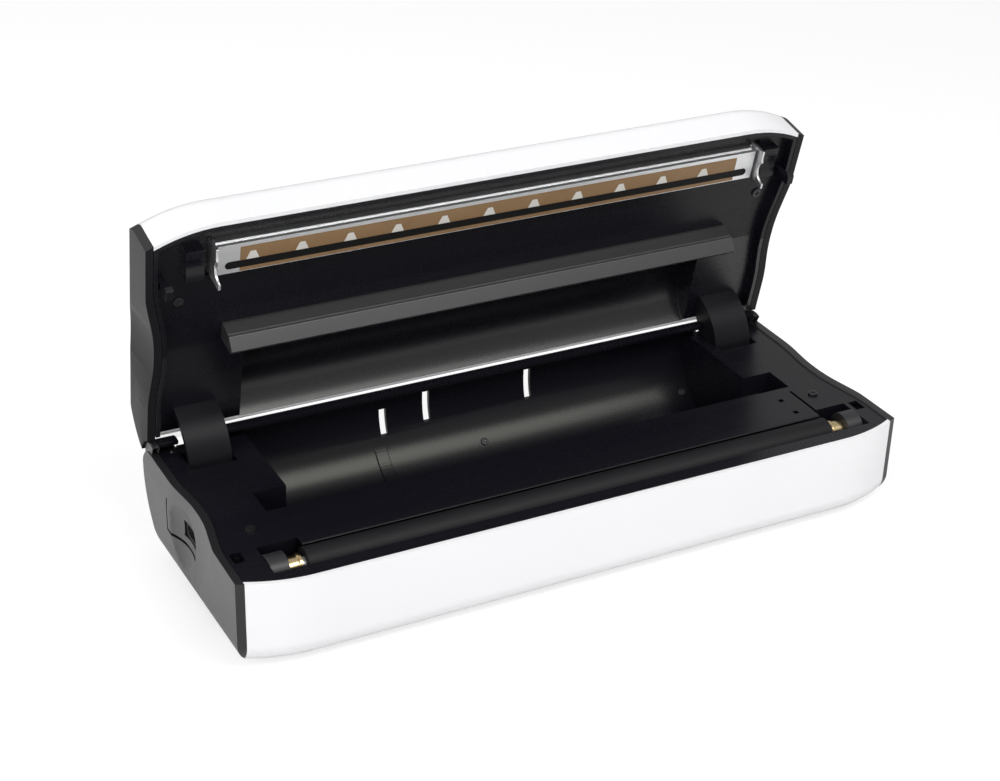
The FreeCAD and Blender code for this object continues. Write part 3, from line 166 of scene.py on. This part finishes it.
# %% start of every finish
class Finish:
    """A material being built: its tree, its shader and the surface point in the seam's directions."""

    def __init__(self, name, place=None, **constants):
        self.material = bpy.data.materials.new(name)
        self.material.use_nodes = True
        self.tree = self.material.node_tree
        self.shader = self.tree.nodes["Principled BSDF"]
        start = self.tree.nodes.new("ShaderNodeTexCoord")
        self.point = Flow(self.tree, start.outputs["Object"])
        self.normal = Flow(self.tree, start.outputs["Normal"])
        if place is not None:
            back = place.inverted()
            self.point = self.point.node(
                "ShaderNodeMapping",
                {"vector_type": "POINT"},
                {"Vector": self.point, "Rotation": back.to_euler(), "Location": back.to_translation()},
            )
        for socket, value in constants.items():
            self.shader.inputs[socket.replace("_", " ")].default_value = value

    def set(self, socket, value):
        feed(self.tree, self.shader.inputs[socket], value)

    def parts(self):
        split = self.point.node("ShaderNodeSeparateXYZ", None, {0: self.point}).socket.node
        return [Flow(self.tree, output) for output in split.outputs]

    def facing_ends(self):
        """How far the surface faces along the machine, from 0 to 1."""
        along = self.normal.node("ShaderNodeSeparateXYZ", None, {0: self.normal})
        return along.through("ABSOLUTE")

    def noise(self, scale, detail=2.0, stretch=(1, 1, 1)):
        place = self.point.node("ShaderNodeMapping", None, {"Vector": self.point, "Scale": stretch})
        inputs = {"Vector": place, "Scale": scale, "Detail": detail}
        return place.node("ShaderNodeTexNoise", None, inputs)

    def between(self, amount, low, high):
        """A colour between two colours."""
        ramp = [(0.0, (*low, 1)), (1.0, (*high, 1))]
        return amount.node("ShaderNodeValToRGB", {"stops": ramp}, {0: amount})

    def over(self, mask, below, above):
        """One colour laid over another where a mask says so."""
        return mask.node("ShaderNodeMix", {"data_type": "RGBA"}, {0: mask, 6: below, 7: above}, output=2)

    def bump(self, height, depth, strength):
        inputs = {"Height": height, "Distance": depth, "Strength": strength}
        self.set("Normal", height.node("ShaderNodeBump", None, inputs))


finishes = {}
print("finish starter ready")

# %% [markdown]
# The two big shells are gloss white mouldings, very slightly cool. Real gloss plastic is never a perfect
# mirror: the mould leaves a faint long ripple and the gloss drifts a little. A flat white would look like
# paper, so low noise in roughness and a very shallow bump give the ripple without spoiling the clean white.
#
# The lid's hem is only 0.8 mm thick, and light from the rear comes through it. True translucency is slow and
# hard to bake, so a mask round the hinge line finds the hem, and a little emission stands for that light.

# %% gloss white moulding
HEM_REACH = 0.0132


def white_shell():
    finish = Finish("white_shell", Coat_Roughness=0.08, IOR=1.46, Emission_Strength=0.75)
    drift = finish.noise(9.0, 3.0)
    ripple = finish.noise(55.0, 1.0)
    hinge_line = base_place @ HINGE
    _, back, up = finish.parts()
    behind = back - hinge_line.y
    above = up - hinge_line.z
    in_hem = (behind * behind + above * above) < HEM_REACH ** 2
    finish.set("Emission Color", finish.between(in_hem, (0, 0, 0), (1, 1, 1)))
    finish.set("Base Color", finish.between(drift, (0.87, 0.87, 0.89), (0.91, 0.91, 0.92)))
    finish.set("Roughness", drift * 0.08 + 0.2)
    finish.set("Coat Weight", ripple * 0.1 + 0.15)
    finish.bump(ripple, 0.00012, 0.25)
    return finish.material


finishes["white_shell"] = white_shell()
print("made", finishes["white_shell"].name)

# %% [markdown]
# The end caps are dark grey, and their broad outer faces are paler. The rolled rims get a painted shade that
# makes them nearly black. Two materials on one mesh would need its faces sorted by hand, so how far the
# surface faces along X tells one from the other. The lid's caps are a darker copy of the same grey, painted
# shade for how the light falls on them. The grain is finer than half a millimetre, so it shows as a soft
# sheen from where the camera stands, and as grain close up.

# %% satin end caps
RIM_SHADE_FACING = 0.72
RIM_SHADE_BLEND = 5.0


def end_cap(name, low, high, shine):
    finish = Finish(name, Specular_IOR_Level=shine, IOR=1.48)
    grain = finish.noise(2600.0, 2.0)
    drift = finish.noise(14.0, 3.0)
    # painted shade: surfaces that turn away from X, the rolled rims, take the near-black colour
    outside_rim_shade = (finish.facing_ends() - RIM_SHADE_FACING) * RIM_SHADE_BLEND
    pale = finish.between(drift, low, high)
    dark = finish.between(drift, (0.009, 0.009, 0.0105), (0.013, 0.013, 0.0145))
    outside_rim_shade = outside_rim_shade.through("MAXIMUM", 0.0).through("MINIMUM", 1.0)
    finish.set("Base Color", finish.over(outside_rim_shade, dark, pale))
    finish.set("Roughness", grain * 0.1 + drift * 0.06 + 0.26)
    finish.bump(grain, 0.00004, 0.35)
    return finish.material


finishes["end_cap"] = end_cap("end_cap", (0.08, 0.08, 0.082), (0.1, 0.1, 0.103), 0.6)
# The lid's caps are a darker copy of the cap grey: painted shade for how the light falls on them.
finishes["lid_cap_shaded"] = end_cap("lid_cap_shaded", (0.011, 0.011, 0.012), (0.016, 0.016, 0.017), 0.16)
print("made", finishes["end_cap"].name, "and", finishes["lid_cap_shaded"].name)

# %% [markdown]
# The inner panels are black with a blue cast in the dark and a warm grey sheen where the curved troughs
# catch the light. Flow lines run along the machine, so the gloss is streaked that way. The lid's trough is
# polished more than the rest. A second roughness would change the flat face too, so a clear coat starts at a
# line along the trough's front edge instead.

# %% black inner panels
LID_TROUGH_FRONT = 0.08


def inner_panel(name, place, polish):
    warm = (0.98, 0.98, 0.88, 1)
    finish = Finish(name, place, Specular_Tint=warm, Specular_IOR_Level=0.32, IOR=1.5, Coat_Roughness=0.27)
    streak = finish.noise(60.0, 3.0, (0.08, 1, 1))
    grain = finish.noise(1900.0, 2.0)
    finish.set("Base Color", finish.between(streak, (0.0052, 0.005, 0.0086), (0.0078, 0.0075, 0.0114)))
    finish.set("Roughness", streak * 0.1 + grain * 0.06 + 0.19)
    _, back, _ = finish.parts()
    finish.set("Coat Weight", (back > LID_TROUGH_FRONT) * polish)
    finish.bump(grain, 0.00003, 0.3)
    return finish.material


finishes["inner_panel"] = inner_panel("inner_panel", None, 0.0)
finishes["lid_panel"] = inner_panel("lid_panel", lid_place, 0.8)
print("made", finishes["inner_panel"].name, "and", finishes["lid_panel"].name)

# %% [markdown]
# Bearing blocks, catches and the inlet are the same black but with a duller, grained face. The hinge arms
# are the darkest of them, so one maker takes the colours and the shine. The film guide rail is extruded: it
# is the palest, and its gloss runs in streaks along X, so it has a maker of its own.

# %% satin black mouldings
def black_plastic(name, low, high, shine):
    finish = Finish(name, Specular_IOR_Level=shine, IOR=1.48)
    grain = finish.noise(2200.0, 3.0)
    drift = finish.noise(40.0, 2.0)
    finish.set("Base Color", finish.between(drift, low, high))
    finish.set("Roughness", grain * 0.15 + 0.34)
    finish.bump(grain, 0.00005, 0.4)
    return finish.material


def rail_satin():
    finish = Finish("rail_satin", Specular_IOR_Level=0.95, IOR=1.48)
    grain = finish.noise(1700.0, 3.0)
    streak = finish.noise(50.0, 2.0, (0.1, 1, 1))
    finish.set("Base Color", finish.between(streak, (0.012, 0.012, 0.0128), (0.018, 0.018, 0.019)))
    finish.set("Roughness", grain * 0.14 + streak * 0.06 + 0.32)
    finish.bump(grain, 0.00005, 0.4)
    return finish.material


SATIN_BLACKS = {
    "black_plastic": ((0.014, 0.014, 0.0164), (0.023, 0.023, 0.0256), 0.55),
    "arm_satin": ((0.006, 0.006, 0.0076), (0.01, 0.01, 0.012), 0.16),
}
for name, look in SATIN_BLACKS.items():
    finishes[name] = black_plastic(name, *look)
finishes["rail_satin"] = rail_satin()
print("made", [*SATIN_BLACKS, "rail_satin"])

# %% [markdown]
# The roller's sleeve, the hose and the feet are soft rubber. A ground rubber roller carries very fine
# rings. Cut rings would need a very fine mesh, so a band pattern along X is mixed with noise before it lifts
# the surface.

# %% soft rubber
RINGS_PER_METRE = 5200.0


def black_rubber():
    finish = Finish("black_rubber", Specular_IOR_Level=0.24, IOR=1.5)
    bloom = finish.noise(70.0, 4.0)
    along, _, _ = finish.parts()
    rings = (along * RINGS_PER_METRE).through("SINE")
    finish.set("Base Color", finish.between(bloom, (0.006, 0.006, 0.0074), (0.0098, 0.0098, 0.0114)))
    finish.set("Roughness", bloom * 0.15 + 0.48)
    finish.bump(rings * 0.3 + bloom, 0.00004, 0.3)
    return finish.material


finishes["black_rubber"] = black_rubber()
print("made", finishes["black_rubber"].name)

# %% [markdown]
# Metals come from one maker of brushed metal: a colour, a gloss range and the direction of the brushing.
# The bar is extruded aluminium with die lines along X, the plates and the roller's core are plain steel, the
# screws and hinge pins are blackened steel, and the bushes are turned brass, whose rings run round the X
# axis. An anisotropic shader could draw the brushing, but stretched noise is enough at this distance.

# %% metals
def brushed(name, dark, light, gloss, stretch, place=None):
    finish = Finish(name, place, Metallic=1.0)
    lines = finish.noise(220.0, 4.0, stretch)
    haze = finish.noise(35.0, 2.0)
    finish.set("Base Color", finish.between(lines * 0.7 + haze * 0.3, dark, light))
    finish.set("Roughness", lines * 0.14 + gloss)
    finish.bump(lines, 0.00002, 0.3)
    return finish.material


ALONG_X = (0.03, 1, 1)
ROUND_X = (9.0, 0.1, 0.1)
METALS = {
    "aluminium": ((0.84, 0.845, 0.85), (0.95, 0.955, 0.96), 0.36, ALONG_X, lid_place),
    "steel": ((0.72, 0.72, 0.73), (0.86, 0.86, 0.87), 0.3, (1, 1, 0.2)),
    "screw_steel": ((0.06, 0.06, 0.065), (0.12, 0.12, 0.125), 0.32, (1, 1, 1)),
    "brass": ((0.6, 0.44, 0.2), (0.86, 0.72, 0.45), 0.14, ROUND_X),
}
for name, look in METALS.items():
    finishes[name] = brushed(name, *look)
print("metals:", list(METALS))

# %% [markdown]
# The brown tape is woven glass cloth with a smooth coating. A picture of cloth would blur close up, so two
# crossed sine patterns make the weave. Plain pale ticks that taper upwards stand along its lower edge at a
# steady pitch: the remainder of X over the pitch gives each tick its own middle. The heating strip below it
# is the same cloth in black.

# %% woven tape and heating strip
WEAVE_PITCH = 0.0007
TICK_PITCH = 0.0268
TICK_FOOT = 0.0072
TICK_TAPER = 0.9
TICK_TOP = 0.0206
TAPE_EDGE = 0.0254


def woven(finish):
    along, back, _ = finish.parts()
    turns = 2 * math.pi / WEAVE_PITCH
    warp = (along * turns).through("SINE")
    weft = (back * turns).through("SINE")
    return along, back, warp * weft * 0.5 + 0.5


def glass_tape():
    finish = Finish("glass_tape", lid_place, IOR=1.45)
    along, back, weave = woven(finish)
    stain = finish.noise(45.0, 3.0)
    cloth = finish.between(weave * 0.35 + stain * 0.65, (0.17, 0.098, 0.043), (0.29, 0.18, 0.09))
    offset = (along + 0.5) % TICK_PITCH - TICK_PITCH / 2
    width = offset.through("ABSOLUTE") * 2
    narrowing = (TAPE_EDGE - back) * TICK_TAPER
    ticks = (width < TICK_FOOT - narrowing) * (back > TICK_TOP) * (back < TAPE_EDGE)
    finish.set("Base Color", finish.over(ticks, cloth, (0.62, 0.6, 0.56, 1)))
    finish.set("Roughness", weave * 0.12 + 0.36)
    finish.bump(weave, 0.00003, 0.4)
    return finish.material


def heater_film():
    finish = Finish("heater_film", lid_place, Specular_IOR_Level=0.25, IOR=1.45)
    _, _, weave = woven(finish)
    wear = finish.noise(80.0, 3.0)
    finish.set("Base Color", finish.between(wear, (0.0024, 0.0024, 0.0024), (0.005, 0.0048, 0.0046)))
    finish.set("Roughness", weave * 0.2 + 0.45)
    finish.bump(weave, 0.00004, 0.5)
    return finish.material


finishes["glass_tape"] = glass_tape()
finishes["heater_film"] = heater_film()
print("tape and strip made, tick pitch", TICK_PITCH)

# %% [markdown]
# What is left: the console and its buttons on the lid's top, and the works inside the base. A circuit
# board is green laminate with paler tracks; the transformer's core is a stack of thin varnished plates. None
# of the works is in view, so a repeating pattern is enough where real tracks would be drawn one by one.

# %% console and works
def console():
    finish = Finish("console", lid_place, IOR=1.5)
    drift = finish.noise(30.0, 2.0)
    finish.set("Base Color", finish.between(drift, (0.02, 0.02, 0.022), (0.03, 0.03, 0.032)))
    finish.set("Roughness", drift * 0.1 + 0.16)
    finish.set("Coat Weight", drift * 0.2 + 0.2)
    return finish.material


def button():
    finish = Finish("button", lid_place, IOR=1.48)
    grain = finish.noise(2400.0, 2.0)
    drift = finish.noise(60.0, 2.0)
    finish.set("Base Color", finish.between(drift, (0.36, 0.365, 0.375), (0.42, 0.425, 0.435)))
    finish.set("Roughness", grain * 0.15 + 0.34)
    finish.bump(grain, 0.00004, 0.3)
    return finish.material


def circuit_board():
    finish = Finish("circuit_board", IOR=1.5)
    along, back, _ = finish.parts()
    tracks = ((along * 400.0) % 1.0 < 0.3) * ((back * 90.0) % 1.0 < 0.8)
    mask = finish.noise(120.0, 2.0)
    green = finish.between(mask, (0.012, 0.09, 0.035), (0.02, 0.13, 0.05))
    finish.set("Base Color", finish.over(tracks, green, (0.05, 0.2, 0.09, 1)))
    finish.set("Roughness", mask * 0.1 + 0.3)
    return finish.material


PLATES_PER_METRE = 9000.0


def iron_core():
    finish = Finish("iron_core", Metallic=0.6)
    along, _, _ = finish.parts()
    plates = (along * PLATES_PER_METRE).through("SINE") * 0.5 + 0.5
    varnish = finish.noise(90.0, 3.0)
    tone = plates * 0.5 + varnish * 0.5
    finish.set("Base Color", finish.between(tone, (0.05, 0.04, 0.032), (0.15, 0.14, 0.13)))
    finish.set("Roughness", varnish * 0.2 + 0.35)
    finish.bump(plates, 0.00005, 0.5)
    return finish.material


for make in (console, button, circuit_board, iron_core):
    finishes[make.__name__] = make()
print("finishes:", sorted(finishes))

# %% [markdown]
# Moulded edges are never knife sharp. The rounding could be cut into each mesh, but here each node keeps its
# own mesh, and a short stack of modifiers does the rest: weld the split corners, bevel what is sharper than
# about thirty degrees, shade smooth, and let weighted normals keep the big faces flat.

# %% softened edges
def smooth_shading():
    group = bpy.data.node_groups.new("smooth_shading", "GeometryNodeTree")
    group.interface.new_socket("Geometry", in_out="INPUT", socket_type="NodeSocketGeometry")
    group.interface.new_socket("Geometry", in_out="OUTPUT", socket_type="NodeSocketGeometry")
    entry = group.nodes.new("NodeGroupInput")
    smooth = group.nodes.new("GeometryNodeSetShadeSmooth")
    leave = group.nodes.new("NodeGroupOutput")
    group.links.new(entry.outputs[0], smooth.inputs["Geometry"])
    group.links.new(smooth.outputs[0], leave.inputs[0])
    return group


SMOOTH = smooth_shading()
SHARP = math.radians(32)


def soften(item, width):
    weld = item.modifiers.new("weld", "WELD")
    weld.merge_threshold = 2e-6
    if width > 0:
        bevel = item.modifiers.new("edges", "BEVEL")
        bevel.width = width
        bevel.segments = 3
        bevel.limit_method = "ANGLE"
        bevel.angle_limit = SHARP
        bevel.use_clamp_overlap = True
        bevel.miter_outer = "MITER_ARC"
    shading = item.modifiers.new("smooth", "NODES")
    shading.node_group = SMOOTH
    item.modifiers.new("normals", "WEIGHTED_NORMAL").weight = 80


print("edges sharper than", round(math.degrees(SHARP)), "degrees will be rounded")

# %% [markdown]
# Every node gets its own edge width and finish. The record names a finish for each node, and a short list
# names those that differ. Left and right pieces share a row, so the side is cut off the name first.

# %% dress every node
EDGE = {
    "base_cover": 0.0004,
    "lid_cover": 0.0004,
    "base_end_cap": 0.0016,
    "lid_end_cap": 0.0016,
    "base_inner_panel": 0.0004,
    "lid_inner_panel": 0.0004,
    "film_guide_rail": 0.0005,
    "hinge_arm": 0.0006,
    "heating_strip": 0.0001,
    "insulating_tape": 0.0,
}
USUAL_EDGE = 0.0003
OWN_FINISH = {
    "film_guide_rail": "rail_satin",
    "lid_inner_panel": "lid_panel",
    "latch_hook": "inner_panel",
    "hinge_arm": "arm_satin",
    "lid_end_cap": "lid_cap_shaded",
}
slots = {row["node"]: row["material_slot"] for row in frame["record"]["subparts"]}
for name, item in nodes.items():
    kind = name.removesuffix("_left").removesuffix("_right")
    item.data.materials.clear()
    item.data.materials.append(finishes[OWN_FINISH.get(kind, slots[name])])
    soften(item, EDGE.get(kind, USUAL_EDGE))
print("dressed", len(nodes), "nodes")

# %% [markdown]
# A few small mouldings are too thin to matter to the solids. All lie on a surface that is already there, so
# each is a sheet: rows of points joined by faces. Points are drawn in millimetres in the seam's directions
# and carried to their place by the matrix of the base or of the lid, and each sheet rides on that body.

# %% a sheet from rows of points
MM = 0.001


def sheet_piece(name, rows, place, body, finish):
    """A sheet from rows of points in millimetres, set in place and tied to a body."""
    build = bmesh.new()
    grid = [[build.verts.new(place @ (point * MM)) for point in row] for row in rows]
    for lower, upper in zip(grid, grid[1:]):
        for index in range(len(lower) - 1):
            build.faces.new((lower[index], lower[index + 1], upper[index + 1], upper[index]))
    bmesh.ops.recalc_face_normals(build, faces=build.faces)
    made = bpy.data.meshes.new(name)
    build.to_mesh(made)
    build.free()
    item = bpy.data.objects.new(name, made)
    scene.collection.objects.link(item)
    item.data.materials.append(finishes[finish])
    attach(item, body)
    print("made", name, "with", len(made.polygons), "faces")


print("sheets ready")

# %% [markdown]
# A low tongue runs down the curved rear wall of the trough. It could be a bent box, but the curve is a plain
# arc, so every point is set by its angle on that arc and its lift off the wall.

# %% tongue in the trough
TROUGH_CENTRE = (113.8, -8.0)
TROUGH_RADIUS = 38.0
TONGUE_HEIGHT = 0.7
SUNK = -0.05


def on_trough(along, angle, lift):
    """A point on the trough's rear curve; the angle runs down from level, in degrees."""
    turn = math.radians(angle)
    reach = TROUGH_RADIUS - lift
    back, height = TROUGH_CENTRE
    return Vector((along, back + reach * math.cos(turn), height - reach * math.sin(turn)))


def raised(across, edge, height):
    """Pairs of place and height over a low pad with sloped edges."""
    low, high = across
    rise = [(low, SUNK), (low, height * 0.7), (low + edge, height)]
    fall = [(high - edge, height), (high, height * 0.7), (high, SUNK)]
    return rise, fall


def tongue():
    left, right = raised((-61.5, -54.0), 0.4, TONGUE_HEIGHT)
    upper, lower = raised((33.0, 69.0), 0.8, TONGUE_HEIGHT)
    middle = [(angle, TONGUE_HEIGHT) for angle in range(36, 67, 3)]
    rows = []
    for angle, rise in upper + middle + lower:
        rows.append([on_trough(x, angle, min(lift, rise)) for x, lift in left + right])
    sheet_piece("trough_tongue", rows, base_place, "base", "inner_panel")


tongue()

# %% [markdown]
# Two round studs stand on the same wall. Each is a profile turned about its own middle, with a rolled rim and
# a dished top, and laid on the arc so that its foot fits the curve.

# %% studs in the trough
STUD_PROFILE = ((2.3, SUNK), (2.3, 0.5), (2.0, 0.9), (1.5, 0.95), (1.1, 0.6), (0.02, 0.5))
STUD_STEPS = 24


def stud(name, along, angle):
    rows = []
    for radius, lift in STUD_PROFILE:
        ring = []
        for step in range(STUD_STEPS + 1):
            turn = 2 * math.pi * step / STUD_STEPS
            lean = math.degrees(radius * math.sin(turn) / TROUGH_RADIUS)
            ring.append(on_trough(along + radius * math.cos(turn), angle + lean, lift))
        rows.append(ring)
    sheet_piece(name, rows, base_place, "base", "black_plastic")


stud("trough_stud_middle", 5.0, 50.0)
stud("trough_stud_right", 139.0, 47.0)

# %% [markdown]
# Below the heating strip a narrow edge of the brown tape shows. It is a strip with its two long edges turned
# down on the bar's face, which is 0.2 mm above the seam.

# %% edge of the tape
BAR_FACE = 0.2
TAPE_ENDS = (-145.0, 151.0)
TAPE_EDGE_FORM = ((29.9, 0.0), (29.95, 0.06), (31.0, 0.07), (32.1, 0.06), (32.15, 0.0))
TAPE_STEPS = 40


def tape_edge():
    left, right = TAPE_ENDS
    rows = []
    for back, drop in TAPE_EDGE_FORM:
        places = [left + (right - left) * step / TAPE_STEPS for step in range(TAPE_STEPS + 1)]
        rows.append([Vector((x, back, BAR_FACE - drop)) for x in places])
    sheet_piece("tape_edge", rows, lid_place, "lid", "glass_tape")


tape_edge()

# %% [markdown]
# The deck ends in a thin lip that reaches over the rear of the roller's channel. A flat strip would show an
# open end beside the bushes, so the lip's outline is drawn all round and both ends close in to the middle.

# %% lip over the channel
LIP_FORM = (
    (37.0, -0.3), (36.6, 0.0), (30.2, -0.06), (29.6, -0.2),
    (29.4, -0.45), (29.6, -0.7), (30.2, -0.8), (37.0, -0.8),
)
LIP_MIDDLE = (33.2, -0.42)
LIP_HALF = 155.0
LIP_STEPS = 20
LIP_CLOSING = 0.96


def channel_lip():
    middle = INNER_SHIFT / MM
    rows = []
    for back, height in LIP_FORM:
        steps = range(-LIP_STEPS, LIP_STEPS + 1)
        row = [Vector((middle + LIP_HALF * step / LIP_STEPS, back, height)) for step in steps]
        inward = Vector((0, LIP_MIDDLE[0] - back, LIP_MIDDLE[1] - height)) * LIP_CLOSING
        rows.append([row[0] + inward, *row, row[-1] + inward])
    rows.append(rows[0])
    sheet_piece("channel_lip", rows, base_place, "base", "inner_panel")


channel_lip()

# %% [markdown]
# The hinge barrel ends in a rounded piece over each end cap of the base. Its outline is turned about the
# hinge line, so it stays clear of the lid's cap, which swings about the same line.

# %% ends of the hinge barrel
SIDES = (("left", -1), ("right", 1))
BARREL_FORM = ((187.4, 2.0), (187.4, 9.4), (187.7, 9.8), (190.6, 9.8), (191.2, 9.2), (191.2, 2.0))
BARREL_TURNS = range(-4, 121, 6)


def round_hinge(reach, angle):
    """Place back and height of a point round the hinge line, in millimetres."""
    turn = math.radians(angle)
    return HINGE.y / MM + reach * math.cos(turn), HINGE.z / MM + reach * math.sin(turn)


def barrel_end(word, side):
    rows = []
    for x, reach in BARREL_FORM:
        rows.append([Vector((side * x, *round_hinge(reach, angle))) for angle in BARREL_TURNS])
    sheet_piece(f"barrel_end_{word}", rows, base_place, "base", "end_cap")


for word, side in SIDES:
    barrel_end(word, side)

# %% [markdown]
# Behind each hinge arm the deck has an opening that the arm swings through. A curved plate closes its rear,
# with its ends turned in, so no light comes through when the lid is up.

# %% shutters behind the arms
SHUTTER_SIDE = ((151.5, 1.2), (152.0, 0.0), (176.0, 0.0), (176.5, 1.2))
SHUTTER_FALL = ((150.6, -5.0), (152.4, -5.2), (153.0, -6.0), (153.2, -14.0), (153.2, -27.0), (152.6, -28.4))


def arm_shutter(word, side):
    rows = []
    for back, height in SHUTTER_FALL:
        rows.append([Vector((side * x, back - turned, height)) for x, turned in SHUTTER_SIDE])
    sheet_piece(f"arm_shutter_{word}", rows, base_place, "base", "inner_panel")


for word, side in SIDES:
    arm_shutter(word, side)

# %% [markdown]
# A white ground with a soft shadow, as in a catalogue picture. Lamps strong enough to make plain paper white
# would burn out the white shells, so the floor scatters light like paper, and for the camera it is mixed with
# plain white emission. It then reads as white away from the machine while a soft shadow stays.

# %% white ground
GLOW = 1.37
GLOW_SHARE = 0.5


def white_ground():
    material = bpy.data.materials.new("white_ground")
    material.use_nodes = True
    tree = material.node_tree
    shader = tree.nodes["Principled BSDF"]
    shader.inputs["Roughness"].default_value = 1.0
    shader.inputs["Specular IOR Level"].default_value = 0.0
    seen = Flow(tree, tree.nodes.new("ShaderNodeLightPath").outputs["Is Camera Ray"])
    paper = seen.node("ShaderNodeTexNoise", None, {"Scale": 3.0})
    tone = [(0.0, (0.79, 0.79, 0.79, 1)), (1.0, (0.81, 0.81, 0.81, 1))]
    feed(tree, shader.inputs["Base Color"], paper.node("ShaderNodeValToRGB", {"stops": tone}, {0: paper}))
    lift = seen.node("ShaderNodeEmission", None, {"Color": (1, 1, 1, 1), "Strength": GLOW})
    plain = Flow(tree, shader.outputs[0])
    shown = seen.node("ShaderNodeMixShader", None, {0: seen * GLOW_SHARE, 1: plain, 2: lift})
    tree.links.new(shown.socket, tree.nodes["Material Output"].inputs["Surface"])
    return material


REACH = 6.0
corners = [(-REACH, -REACH, 0), (REACH, -REACH, 0), (REACH, REACH, 0), (-REACH, REACH, 0)]
mesh = bpy.data.meshes.new("ground")
mesh.from_pydata(corners, [], [(0, 1, 2, 3)])
ground = bpy.data.objects.new("ground", mesh)
scene.collection.objects.link(ground)
ground.data.materials.append(white_ground())
print("ground", 2 * REACH, "m square")

# %% [markdown]
# The sky is plain white for the camera, and much dimmer as light and in reflections, so that the blacks stay
# black. Three soft boxes do the rest: a broad one above and behind on the left, which throws the faint shadow
# forward, a narrow one high in front on the right, which draws the long sheen in the troughs and on the rail,
# and a broad low one in front on the left for the front shell and the left end.

# %% light
def white_sky(strength):
    world = bpy.data.worlds.new("white_sky")
    scene.world = world
    world.use_nodes = True
    tree = world.node_tree
    back = tree.nodes["Background"]
    seen = Flow(tree, tree.nodes.new("ShaderNodeLightPath").outputs["Is Camera Ray"])
    back.inputs["Color"].default_value = (1, 1, 1, 1)
    feed(tree, back.inputs["Strength"], seen * (1 - strength) + strength)


def soft_box(name, place, size, power):
    lamp = bpy.data.lights.new(name, "AREA")
    lamp.shape = "RECTANGLE"
    lamp.size, lamp.size_y = size
    lamp.energy = power
    item = bpy.data.objects.new(name, lamp)
    item.location = place
    item.rotation_euler = (Vector(MIDDLE) - Vector(place)).to_track_quat("-Z", "Y").to_euler()
    scene.collection.objects.link(item)


SKY_LIGHT = 0.46
MIDDLE = (0, 0, 0.06)
BOXES = {
    "box_behind": ((-0.5, 0.9, 1.4), (1.2, 0.9), 6.6),
    "box_front": ((0.26, -0.74, 1.02), (1.0, 0.5), 8.4),
    "box_left": ((-1.3, -0.7, 0.5), (1.0, 0.8), 7.4),
}
white_sky(SKY_LIGHT)
for name, (place, size, power) in BOXES.items():
    soft_box(name, place, size, power)
scene.view_settings.view_transform = "Standard"

# %% [markdown]
# The camera stands left of the middle and above, with a moderately long lens. The place and the lens were
# worked out from the machine's corners, so the picture lines up without any trial.

# %% camera
EYE = Vector((-0.46108, -0.86558, 0.54948))
LOOK_AT = Vector((-0.0184, -0.00866, 0.0869))
SENSOR = 36
FOCAL_SHARE = 2.0134
lens = bpy.data.cameras.new("camera")
lens.sensor_width = SENSOR
lens.lens = FOCAL_SHARE * SENSOR
camera = bpy.data.objects.new("camera", lens)
camera.location = EYE
camera.rotation_euler = (LOOK_AT - EYE).to_track_quat("-Z", "Y").to_euler()
scene.collection.objects.link(camera)
scene.camera = camera
print("lens", round(lens.lens, 2), "mm")
